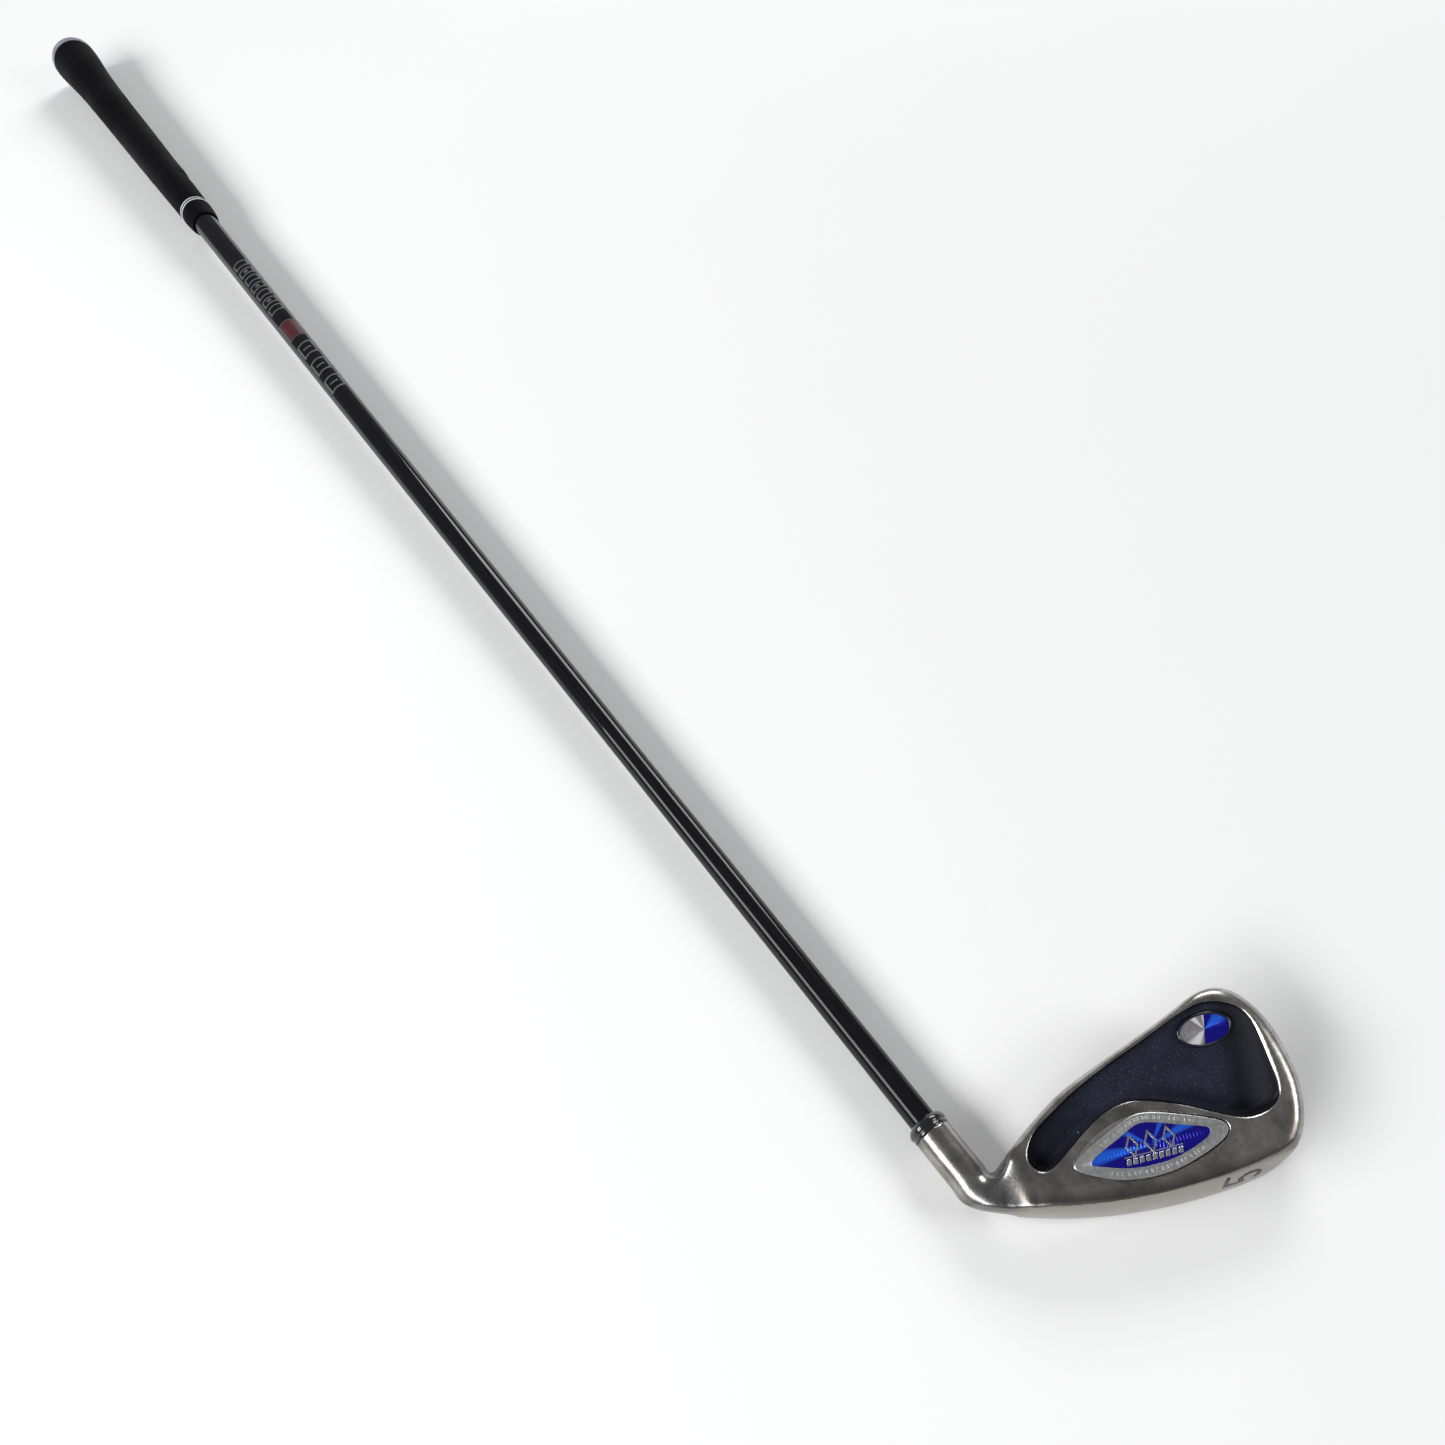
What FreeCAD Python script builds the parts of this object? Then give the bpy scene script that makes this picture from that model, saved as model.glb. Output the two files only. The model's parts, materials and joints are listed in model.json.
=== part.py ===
"""Right-handed cavity-back five iron, lying face down as it would rest on a floor.

Frames used below, all in millimetres:
  address frame  X toward the toe, Y toward the target, Z up; the origin is the point where
                 the shaft axis meets the ground with the sole resting flat.
  blade frame    the address frame leaned back by the loft, so the striking face is the
                 plane y = 0, z runs up the face and depth behind the face is -y.
  shaft frame    z runs up the shaft axis, zero at the ground point.
The finished club is laid down: +X runs from the grip to the head, +Z is up.
"""

import FreeCAD, Part
import math
import os
from FreeCAD import Placement, Rotation, Vector

# Club geometry
LIE = 61.5                     # degrees between the shaft axis and the ground
LOFT = 27.0                    # degrees the face leans back
CLUB_LENGTH = 947.0            # ground point to butt end, along the shaft axis
FACE_AHEAD = 3.4               # face plane ahead of the shaft axis at the ground point

# Resting attitude: face down on the butt, the hosel and the leading edge
REST_ROLL = 4.66               # about the shaft axis
REST_PITCH = 0.44              # butt lifted by the thick end of the grip

# Hosel, bore and ferrule
HOSEL_RADIUS = 6.45
HOSEL_TOP = 37.0               # height along the shaft axis
BORE_RADIUS = 4.85
BORE_BOTTOM = 16.0
FERRULE_RADIUS = 6.95
FERRULE_LENGTH = 5.0

# Blade
TOP_LINE_THICKNESS = 6.0
TOP_LINE_SLOPE = 29.9          # degrees, rise of the top line toward the toe
TOP_LINE_POINT = (73.5, 65.3)
UPPER_BACK_TAPER = 0.30        # thickness gained per mm below the top line
LOWER_BACK_TAPER = 0.184       # thickness gained per mm down the face
LOWER_BACK_START = 60.0        # height where the lower back is as thin as the top line
HEEL_END = 3.0                 # where the blade takes over from the neck
EDGE_ROUNDING = 1.2
TRAILING_DEPTH = 16.0          # widest depth of the sole behind the face
HEEL_SCOOP_POINT = (2.5, 8.2)  # toe-ward and depth, where the heel scoop meets the neck
HEEL_SCOOP_SLOPE = 0.62        # depth gained per mm toward the toe
SOLE_ROCKER_RADIUS = 180.0     # heel-to-toe curve of the sole
SOLE_CAMBER_RADIUS = 40.0      # front-to-back curve of the sole
SOLE_LOW_POINT = (36.0, -4.5)  # toe-ward and target-ward position of the lowest point

# Cavity
FACE_THICKNESS = 3.2
TOE_RAMP_START = 78.0
TOE_RAMP_RADIUS = 14.0
COATING = 0.15

# Medallion in the lower back
MEDALLION_CENTRE = (46.2, 21.4)
MEDALLION_TILT = 7.1
MEDALLION_HALF_LENGTH = 23.9
MEDALLION_HIGH = 10.1
MEDALLION_LOW = 9.3
MEDALLION_POCKET = 1.8
MEDALLION_GAP = 0.35
MEDALLION_TIP = 1.3
INLAY_HALF_LENGTH = 18.8
INLAY_HIGH = 6.9
INLAY_LOW = 6.1
GLUE = 0.12
CHAMBER = (27.0, 9.0, 3.0)     # length, height and depth of the weight chamber
PELLETS_LONG = 9
PELLETS_HIGH = 3
PELLET_RADIUS = 1.3

# Oval badge in the cavity near the toe
BADGE_CENTRE = (71.4, 53.4)
BADGE_TILT = 8.0
BADGE_HALF_LENGTH = 8.2
BADGE_HALF_HEIGHT = 4.5
BADGE_POCKET = 0.8
BEZEL = 1.0
BADGE_RISE = 2.2

# Club number in the sole
NUMERAL_CENTRE = (74.2, 9.0)   # toward the toe and behind the face
NUMERAL_HEIGHT = 12.5
NUMERAL_WIDTH = 6.0
NUMERAL_STROKE = 1.2
NUMERAL_DEPTH = 0.4

# Shaft
TIP_RADIUS = 4.7
TIP_PARALLEL_END = 220.0
SHAFT_TIP = 16.3
SHAFT_BUTT = 943.0
BUTT_RADIUS = 7.65
SHAFT_TIP_WALL = 1.6
SHAFT_BUTT_WALL = 1.1
SHAFT_TIP_BORE = 2.6
TIP_WEIGHT_LENGTH = 18.0
DECAL_THICKNESS = 0.1
LETTERING_LOW = 583.0
LETTERING_TOP = 641.0
LETTERING_BLOCKS = 7
LETTERING_SWING = 104.0
FRAME_LOWS = (504.0, 521.0, 538.0)
FRAME_LENGTH = 13.0
RED_LOW = 558.0
RED_TOP = 572.0

# Grip
GRIP_PROFILE = [(697.0, 7.7), (703.0, 8.5), (724.0, 9.0), (750.0, 9.45), (780.0, 9.9),
                (815.0, 10.4), (850.0, 10.75), (887.0, 11.4), (908.0, 12.2), (926.0, 13.4),
                (936.0, 13.85), (943.5, 13.8)]
TAPE = 0.25
RING_RADIUS = 8.9
RING_DEPTH = 0.6
RING_WIDTH = 1.1
RING_HEIGHTS = (711.0, 713.2)
CAP_RADIUS = 13.8
CAP_ROUNDING = 1.6
VENT_RADIUS = 1.5

# Score lines
GROOVE_COUNT = 13
GROOVE_PITCH = 3.6
GROOVE_WIDTH = 0.8
GROOVE_DEPTH = 0.4
GROOVE_LOW = 7.0
GROOVE_HEEL = 18.0
GROOVE_TOE = 80.0
GROOVE_MARGIN = 7.0            # between the groove ends and the top line

BLADE_OUTLINE = [(HEEL_END, 21.2), (5.5, 24.0), (12.0, 30.0), (22.3, 38.2), (42.8, 49.3),
                 (63.2, 60.2), (70.0, 64.0), (76.5, 65.8), (83.6, 64.2), (89.6, 58.6), (93.7, 51.6),
                 (97.3, 39.5), (97.9, 31.0), (96.2, 22.0), (91.5, 14.2), (84.5, 6.0), (79.0, 0.5)]

CAVITY_OUTLINE = [(8.8, 20.3), (11.6, 16.9), (15.2, 17.4), (20.0, 21.0), (30.0, 29.2),
                  (37.5, 33.4), (45.5, 34.8), (58.5, 32.2), (72.6, 27.3), (80.0, 26.4),
                  (87.2, 29.2), (90.7, 36.0), (89.9, 46.5), (86.4, 56.0), (80.5, 60.6),
                  (74.0, 61.7), (67.5, 60.4), (50.6, 51.8), (30.4, 41.2), (15.6, 31.0),
                  (10.6, 26.0)]


def blade_point(toe, depth, up):
    """Point of the blade frame, from distances toward the toe, behind the face and up it."""
    return Vector(toe, -depth, up)


def shaft_direction():
    """Shaft axis from head to grip, in the blade frame."""
    lie, loft = math.radians(LIE), math.radians(LOFT)
    return Vector(-math.cos(lie), math.sin(lie) * math.sin(loft), math.sin(lie) * math.cos(loft))


def ground_point():
    return blade_point(0, FACE_AHEAD, 0)


def on_shaft_axis(up):
    return ground_point() + shaft_direction() * up


def shaft_placement():
    """Carries the shaft frame into the blade frame."""
    return Placement(ground_point(), Rotation(Vector(0, 0, 1), shaft_direction()))


def closed_spline(points):
    """Smooth closed outline, with the same even spacing for every outline of equal length."""
    curve = Part.BSplineCurve()
    even = [step / len(points) for step in range(len(points) + 1)]
    curve.interpolate(Points=points, PeriodicFlag=True, Parameters=even)
    return Part.Wire([curve.toShape()])


def open_spline(points):
    curve = Part.BSplineCurve()
    curve.interpolate(points)
    return curve.toShape()


def slab(wire, thickness, direction):
    return Part.Face(wire).extrude(direction * thickness)


def half_space(point, outward):
    """Big block filling the side of a plane opposite to its outward normal."""
    block = Part.makeBox(400, 400, 400, Vector(-200, -200, -400))
    block.Placement = Placement(point, Rotation(Vector(0, 0, 1), outward))
    return block


def lower_back_depth(up):
    return TOP_LINE_THICKNESS + LOWER_BACK_TAPER * (LOWER_BACK_START - up)


def lower_back_normal():
    return Vector(0, -1, LOWER_BACK_TAPER).normalize()


def upper_back_normal():
    slope = math.radians(TOP_LINE_SLOPE)
    normal = Vector(-UPPER_BACK_TAPER * math.sin(slope), -1, UPPER_BACK_TAPER * math.cos(slope))
    return normal.normalize()


def sole_solid(inset=0.0):
    """Solid whose underside is the cambered and rockered sole, or a surface inset above it."""
    toe, ahead = SOLE_LOW_POINT
    hub = Vector(toe, ahead, SOLE_ROCKER_RADIUS)
    half = SOLE_CAMBER_RADIUS - inset
    crown = 2 * SOLE_ROCKER_RADIUS - SOLE_CAMBER_RADIUS
    shoulders = [Vector(toe, ahead - half, crown), Vector(toe, ahead + half, crown)]
    feet = [point - Vector(0, 0, 50) for point in shoulders]
    camber = Part.Arc(shoulders[0], Vector(toe, ahead, crown + half), shoulders[1]).toShape()
    profile = Part.Wire([camber, Part.makeLine(shoulders[1], feet[1]), Part.makeLine(feet[1], feet[0]),
                         Part.makeLine(feet[0], shoulders[0])])
    ring = Part.Face(profile).revolve(hub, Vector(0, 1, 0), 360)
    ring.rotate(Vector(0, 0, 0), Vector(1, 0, 0), -LOFT)
    ring.translate(ground_point())
    return ring


def blade_solid():
    points = [blade_point(toe, 0, up) for toe, up in BLADE_OUTLINE]
    toe_bottom = blade_point(60, 0, -12)
    heel_bottom = blade_point(HEEL_END, 0, -12)
    edges = [open_spline(points),
             Part.makeLine(points[-1], toe_bottom),
             Part.makeLine(toe_bottom, heel_bottom),
             Part.makeLine(heel_bottom, points[0])]
    blade = slab(Part.Wire(edges), TRAILING_DEPTH, Vector(0, -1, 0))
    lower = half_space(blade_point(0, TOP_LINE_THICKNESS, LOWER_BACK_START), lower_back_normal())
    top = blade_point(TOP_LINE_POINT[0], TOP_LINE_THICKNESS, TOP_LINE_POINT[1])
    upper = half_space(top, upper_back_normal())
    scoop = half_space(blade_point(*HEEL_SCOOP_POINT, 0), Vector(-HEEL_SCOOP_SLOPE, -1, 0))
    blade = blade.common(lower).common(upper).common(scoop).common(sole_solid()).Solids[0]
    return blade.makeFillet(EDGE_ROUNDING, [edge for edge in blade.Edges if is_rounded_edge(edge)])


def is_rounded_edge(edge):
    """True for the edges around the face and for the long trailing edge of the sole."""
    box = edge.BoundBox
    on_face = box.YMin > -0.1 and box.ZLength > 2.0 and box.XMax > HEEL_END + 0.1
    low_at_back = box.YMax < -8.0 and box.ZMax < 22.0
    trailing = low_at_back and box.XLength > 20.0 and not isinstance(edge.Curve, Part.Line)
    return on_face or trailing


def neck_section(centre, tilt, height, width, squareness, taper, hosel_share):
    """Closed section of the neck: round at the hosel, squarer and thin-topped near the blade."""
    upward = Vector(math.cos(math.radians(tilt)), 0, math.sin(math.radians(tilt)))
    axis = shaft_direction()
    hosel_front = (Vector(0, 1, 0) - axis * axis.y).normalize()
    front = (hosel_front * hosel_share + Vector(0, 1, 0) * (1 - hosel_share)).normalize()
    points = []
    for step in range(24):
        angle = math.radians(15 * step)
        rise = math.copysign(abs(math.cos(angle)) ** (2 / squareness), math.cos(angle))
        side = math.copysign(abs(math.sin(angle)) ** (2 / squareness), math.sin(angle))
        side += taper * rise * (1 - side)
        points.append(centre + upward * (height * rise) + front * (width * side))
    return closed_spline(points)


def neck_solid():
    """Tight bend that carries the hosel into the heel of the blade."""
    sections = [neck_section(on_shaft_axis(22.0), 31.4, 6.3, 6.3, 2.0, 0.0, 1.0),
                neck_section(on_shaft_axis(17.0), 32.5, 6.35, 6.35, 2.0, 0.0, 1.0),
                neck_section(Vector(-7.6, 2.4, 12.3), 41.0, 6.4, 6.3, 2.05, 0.0, 0.8),
                neck_section(Vector(-4.2, -0.2, 11.4), 60.0, 6.6, 5.8, 2.2, 0.05, 0.4),
                neck_section(Vector(0.6, -2.9, 12.0), 82.0, 8.4, 5.3, 2.5, 0.15, 0.0),
                neck_section(Vector(6.0, -4.5, 13.1), 90.0, 10.8, 4.6, 3.2, 0.28, 0.0),
                neck_section(Vector(12.0, -4.8, 15.6), 90.0, 12.4, 4.2, 3.4, 0.28, 0.0)]
    return Part.makeLoft(sections, True, False).common(sole_solid())


def hosel_solid():
    return along_shaft(Part.makeCylinder(HOSEL_RADIUS, HOSEL_TOP - 20.0, Vector(0, 0, 20.0)))


def along_shaft(shape):
    """Moves a shape drawn in the shaft frame into the blade frame."""
    placed = shape.copy()
    placed.Placement = shaft_placement().multiply(placed.Placement)
    return placed


def outline_prism(outline, near, far):
    """Straight prism behind the face, from one depth to another."""
    wire = closed_spline([blade_point(toe, near, up) for toe, up in outline])
    return slab(wire, far - near, Vector(0, -1, 0))


def cavity_space(floor_depth, ramp_radius):
    """Space open to the back: flat floor with a curved ramp climbing to the toe rim."""
    ramp_top = TOE_RAMP_START + ramp_radius
    start, up = Vector(-20, -floor_depth, -20), Vector(0, 0, 120)
    ramp_foot = Vector(TOE_RAMP_START, -floor_depth, -20)
    middle = math.radians(45)
    ramp_middle = Vector(TOE_RAMP_START + ramp_radius * math.sin(middle),
                         -floor_depth - ramp_radius * (1 - math.cos(middle)), -20)
    ramp_end = Vector(ramp_top, -floor_depth - ramp_radius, -20)
    back_toe = Vector(ramp_top, -40, -20)
    back_heel = Vector(-20, -40, -20)
    profile = Part.Wire([Part.makeLine(start, ramp_foot),
                         Part.Arc(ramp_foot, ramp_middle, ramp_end).toShape(),
                         Part.makeLine(ramp_end, back_toe),
                         Part.makeLine(back_toe, back_heel),
                         Part.makeLine(back_heel, start)])
    walls = outline_prism(CAVITY_OUTLINE, floor_depth - 1.0, 30.0)
    return slab(profile, 120, Vector(0, 0, 1)).common(walls)


def cavity_coating():
    """Textured black coat lying on the cavity floor and ramp."""
    bare = cavity_space(FACE_THICKNESS, TOE_RAMP_RADIUS)
    return bare.cut(cavity_space(FACE_THICKNESS + COATING, TOE_RAMP_RADIUS - COATING))


def medallion_placement(sunk):
    """Local frame on the lower back, x along the medallion, z outward, sunk below the surface."""
    toe, up = MEDALLION_CENTRE
    middle = blade_point(toe, lower_back_depth(up), up)
    outward = lower_back_normal()
    tilt = math.radians(MEDALLION_TILT)
    long_axis = Vector(math.cos(tilt), 0, math.sin(tilt))
    long_axis = (long_axis - outward * long_axis.dot(outward)).normalize()
    rotation = Rotation(long_axis, outward.cross(long_axis), outward, "ZXY")
    return Placement(middle - outward * sunk, rotation)


def eye_wire(half_length, high, low, tip_radius):
    """Pointed oval with rounded tips: one arch above the long axis, a flatter one below."""
    heel, toe = half_length, -half_length
    lift = tip_radius
    top = Part.Arc(Vector(heel, lift, 0), Vector(0, high, 0), Vector(toe, lift, 0)).toShape()
    bottom = Part.Arc(Vector(toe, -lift, 0), Vector(0, -low, 0), Vector(heel, -lift, 0)).toShape()
    toe_tip = Part.Arc(Vector(toe, lift, 0), Vector(toe - lift, 0, 0), Vector(toe, -lift, 0)).toShape()
    heel_tip = Part.Arc(Vector(heel, -lift, 0), Vector(heel + lift, 0, 0), Vector(heel, lift, 0)).toShape()
    return Part.Wire([top, toe_tip, bottom, heel_tip])


def eye_plate(half_length, high, low, tip_radius, bottom, top):
    """Plate of eye outline between two heights above the pocket floor."""
    plate = slab(eye_wire(half_length, high, low, tip_radius), top - bottom, Vector(0, 0, 1))
    plate.translate(Vector(0, 0, bottom))
    plate.Placement = medallion_placement(MEDALLION_POCKET).multiply(plate.Placement)
    return plate


def oval_plate(half_length, half_height, bottom, top):
    """Oval plate standing on the cavity floor around the toe badge centre."""
    oval = Part.Ellipse(Vector(0, 0, 0), half_length, half_height).toShape()
    plate = slab(Part.Wire([oval]), top - bottom, Vector(0, 0, 1))
    plate.translate(Vector(0, 0, bottom))
    tilt = math.radians(BADGE_TILT)
    outward = Vector(0, -1, 0)
    long_axis = Vector(math.cos(tilt), 0, math.sin(tilt))
    rotation = Rotation(long_axis, outward.cross(long_axis), outward, "ZXY")
    middle = blade_point(BADGE_CENTRE[0], FACE_THICKNESS - BADGE_POCKET, BADGE_CENTRE[1])
    plate.Placement = Placement(middle, rotation).multiply(plate.Placement)
    return plate


def score_lines():
    """Straight grooves across the striking face, shortened under the top line."""
    grooves = []
    slope = math.tan(math.radians(TOP_LINE_SLOPE))
    for line in range(GROOVE_COUNT):
        up = GROOVE_LOW + GROOVE_PITCH * line
        below_top_line = TOP_LINE_POINT[1] - GROOVE_MARGIN - up
        heel = max(GROOVE_HEEL, TOP_LINE_POINT[0] - below_top_line / slope)
        corner = Vector(heel, -GROOVE_DEPTH, up - GROOVE_WIDTH / 2)
        grooves.append(Part.makeBox(GROOVE_TOE - heel, GROOVE_DEPTH + 1.0, GROOVE_WIDTH, corner))
    return Part.makeCompound(grooves)


def numeral_prism():
    """Numeral five as a tall prism through the sole, its top toward the heel."""
    half, tall, stroke = NUMERAL_WIDTH / 2, NUMERAL_HEIGHT / 2, NUMERAL_STROKE
    bowl = 0.62 * tall
    bar = Part.makeBox(2 * half, stroke, 12, Vector(-half, tall - stroke, -6))
    stem = Part.makeBox(stroke, tall, 12, Vector(-half, 0, -6))
    up = Vector(0, 0, 1)
    low = Vector(0, 0, -6)
    outer = slab(Part.Wire([Part.Ellipse(low, bowl, half).toShape()]), 12, up)
    inner = slab(Part.Wire([Part.Ellipse(low, bowl - stroke, half - stroke).toShape()]), 12, up)
    ring = outer.cut(inner)
    ring.rotate(Vector(0, 0, 0), Vector(0, 0, 1), 90)
    ring.translate(Vector(0, bowl - tall, 0))
    gap = Part.makeBox(half, 0.9 * bowl, 12, Vector(-half, -tall + 0.55 * bowl, -6))
    numeral = bar.fuse([stem, ring.cut(gap)]).removeSplitter()
    outward = Vector(0, -math.sin(math.radians(LOFT)), -math.cos(math.radians(LOFT)))
    rotation = Rotation(outward.cross(Vector(1, 0, 0)).negative(), Vector(-1, 0, 0), outward, "ZYX")
    toe, depth = NUMERAL_CENTRE
    numeral.Placement = Placement(blade_point(toe, depth, sole_height(toe, depth)), rotation)
    return numeral


def sole_height(toe, depth):
    """Height up the face of the sole surface at a place toward the toe and behind the face."""
    loft = math.radians(LOFT)
    rocker = (toe - SOLE_LOW_POINT[0]) ** 2 / (2 * SOLE_ROCKER_RADIUS)
    return (rocker + (depth - FACE_AHEAD) * math.sin(loft)) / math.cos(loft)


def shaft_radius(up):
    """Outer radius of the shaft at a height along its axis."""
    share = max(0.0, (up - TIP_PARALLEL_END) / (SHAFT_BUTT - TIP_PARALLEL_END))
    return TIP_RADIUS + share * (BUTT_RADIUS - TIP_RADIUS)


def turned(points):
    """Solid turned about the shaft axis from a closed profile of (height, radius) points."""
    corners = [Vector(radius, 0, up) for up, radius in points]
    profile = Part.makePolygon(corners + corners[:1])
    return Part.Face(profile).revolve(Vector(0, 0, 0), Vector(0, 0, 1), 360)


def tube_over_shaft(low, high, inner_gap, outer_gap):
    """Sleeve that follows the shaft taper, between two gaps outside its surface."""
    return turned([(low, shaft_radius(low) + inner_gap), (low, shaft_radius(low) + outer_gap),
                   (high, shaft_radius(high) + outer_gap), (high, shaft_radius(high) + inner_gap)])


def shaft_tube():
    return turned([(SHAFT_TIP, SHAFT_TIP_BORE), (SHAFT_TIP, TIP_RADIUS), (TIP_PARALLEL_END, TIP_RADIUS),
                   (SHAFT_BUTT, BUTT_RADIUS), (SHAFT_BUTT, BUTT_RADIUS - SHAFT_BUTT_WALL),
                   (TIP_PARALLEL_END, TIP_RADIUS - SHAFT_TIP_WALL)])


def hosel_epoxy():
    """Thin adhesive sleeve and puddle between the shaft tip and the bore."""
    plug = Part.makeCylinder(BORE_RADIUS, HOSEL_TOP - BORE_BOTTOM, Vector(0, 0, BORE_BOTTOM))
    tip = Part.makeCylinder(TIP_RADIUS, HOSEL_TOP, Vector(0, 0, SHAFT_TIP))
    return plug.cut(tip)


def ferrule():
    """Short trim bead above the hosel, with a rounded upper lip."""
    base, top = HOSEL_TOP, HOSEL_TOP + FERRULE_LENGTH
    neck_radius = TIP_RADIUS + 0.5
    inner = Part.makeLine(Vector(TIP_RADIUS, 0, base), Vector(TIP_RADIUS, 0, top))
    lip = Part.makeLine(Vector(TIP_RADIUS, 0, top), Vector(neck_radius, 0, top))
    bead = Part.Arc(Vector(neck_radius, 0, top), Vector(FERRULE_RADIUS - 0.15, 0, top - 1.4),
                    Vector(FERRULE_RADIUS, 0, top - 2.8)).toShape()
    side = Part.makeLine(Vector(FERRULE_RADIUS, 0, top - 2.8), Vector(HOSEL_RADIUS, 0, base))
    foot = Part.makeLine(Vector(HOSEL_RADIUS, 0, base), Vector(TIP_RADIUS, 0, base))
    profile = Part.Wire([inner, lip, bead, side, foot])
    return Part.Face(profile).revolve(Vector(0, 0, 0), Vector(0, 0, 1), 360)


def decal(low, high, swing):
    """Thin printed band on the shaft, wrapped part of the way round the side that faces back."""
    band = tube_over_shaft(low, high, 0.0, DECAL_THICKNESS)
    reach = 20.0
    side = reach * math.tan(math.radians(swing / 2))
    wedge = Part.makePolygon([Vector(0, 0, low - 1), Vector(side, -reach, low - 1),
                              Vector(-side, -reach, low - 1), Vector(0, 0, low - 1)])
    return band.common(slab(wedge, high - low + 2, Vector(0, 0, 1)))


def lettering_blocks():
    """Two rows of plain printed marks that stand in for the lettering on the shaft."""
    pitch = (LETTERING_TOP - LETTERING_LOW) / LETTERING_BLOCKS
    marks = [decal(LETTERING_LOW + pitch * block, LETTERING_LOW + pitch * (block + 0.7), LETTERING_SWING)
             for block in range(LETTERING_BLOCKS)]
    for low in FRAME_LOWS:
        frame = decal(low, low + FRAME_LENGTH, LETTERING_SWING)
        middle = decal(low + 3.0, low + FRAME_LENGTH - 3.0, LETTERING_SWING - 46.0)
        marks.append(frame.cut(middle))
    return marks


def grip_sleeve():
    """Rubber sleeve that flares smoothly toward the butt, with grooves for the two rings."""
    skin = [Vector(radius, 0, up) for up, radius in GRIP_PROFILE]
    low, high = GRIP_PROFILE[0][0], GRIP_PROFILE[-1][0]
    bore_low = Vector(shaft_radius(low) + TAPE, 0, low)
    bore_high = Vector(shaft_radius(high) + TAPE, 0, high)
    profile = Part.Wire([open_spline(skin), Part.makeLine(skin[-1], bore_high),
                         Part.makeLine(bore_high, bore_low), Part.makeLine(bore_low, skin[0])])
    sleeve = Part.Face(profile).revolve(Vector(0, 0, 0), Vector(0, 0, 1), 360)
    for ring in grip_rings():
        sleeve = sleeve.cut(ring)
    return sleeve


def grip_rings():
    return [turned([(low, RING_RADIUS - RING_DEPTH), (low, RING_RADIUS), (low + RING_WIDTH, RING_RADIUS),
                    (low + RING_WIDTH, RING_RADIUS - RING_DEPTH)]) for low in RING_HEIGHTS]


def grip_end_cap():
    """Pale cap closing the butt, rounded at the edge and pierced by the vent hole."""
    low = GRIP_PROFILE[-1][0]
    cap = Part.makeCylinder(CAP_RADIUS, CLUB_LENGTH - low, Vector(0, 0, low))
    rims = [edge for edge in cap.Edges if edge.BoundBox.ZMin > CLUB_LENGTH - 0.1]
    cap = cap.makeFillet(CAP_ROUNDING, rims)
    return cap.cut(Part.makeCylinder(VENT_RADIUS, 10, Vector(0, 0, low - 1)))


def medallion_parts():
    """Pocket, glue, plate, inlay and raised emblem of the lower medallion, in stacking order."""
    length, high, low, tip = MEDALLION_HALF_LENGTH, MEDALLION_HIGH, MEDALLION_LOW, MEDALLION_TIP
    gap, recess = MEDALLION_GAP, MEDALLION_POCKET - 0.45
    pocket = eye_plate(length + gap, high + gap, low + gap, tip, 0.0, 20.0)
    glue = eye_plate(length, high, low, tip, 0.0, GLUE)
    inlay = eye_plate(INLAY_HALF_LENGTH, INLAY_HIGH, INLAY_LOW, 0.6, recess, recess + 0.35)
    opening = eye_plate(INLAY_HALF_LENGTH, INLAY_HIGH, INLAY_LOW, 0.6, recess, 20.0)
    plate = eye_plate(length, high, low, tip, GLUE, MEDALLION_POCKET + 0.1).cut(opening)
    emblem = raised_emblem(recess + 0.35, MEDALLION_POCKET + 0.15)
    return pocket, glue, plate, inlay, emblem


def raised_emblem(bottom, top):
    """Plain bar carrying three upright lozenges."""
    bar = Part.makeBox(19.0, 2.6, top - bottom, Vector(-9.5, -4.2, bottom))
    pieces = []
    for middle in (-6.0, 0.0, 6.0):
        lozenge = Part.makePolygon([Vector(middle, -3.0, bottom), Vector(middle + 2.6, 1.0, bottom),
                                    Vector(middle, 5.0, bottom), Vector(middle - 2.6, 1.0, bottom),
                                    Vector(middle, -3.0, bottom)])
        pieces.append(slab(lozenge, top - bottom, Vector(0, 0, 1)))
    emblem = bar.fuse(pieces).removeSplitter()
    emblem.Placement = medallion_placement(MEDALLION_POCKET)
    return emblem


def badge_parts():
    """Pocket, glue, bezel, disc and half covering of lacquer of the toe badge."""
    length, height = BADGE_HALF_LENGTH, BADGE_HALF_HEIGHT
    outer_length, outer_height = length + BEZEL, height + BEZEL
    pocket = oval_plate(outer_length + 0.1, outer_height + 0.1, 0.0, 20.0)
    glue = oval_plate(outer_length, outer_height, 0.0, GLUE)
    hollow = oval_plate(length + 0.02, height + 0.02, 0.0, 20.0)
    bezel = oval_plate(outer_length, outer_height, GLUE, BADGE_RISE + 0.3).cut(hollow)
    disc = oval_plate(length, height, GLUE, BADGE_RISE - 0.2)
    lacquer = oval_plate(length, height, BADGE_RISE - 0.2, BADGE_RISE)
    toe_side = Part.makeBox(40, 40, 100, Vector(BADGE_CENTRE[0], -30, 0))
    return pocket, glue, bezel, disc, lacquer.common(toe_side)


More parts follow.
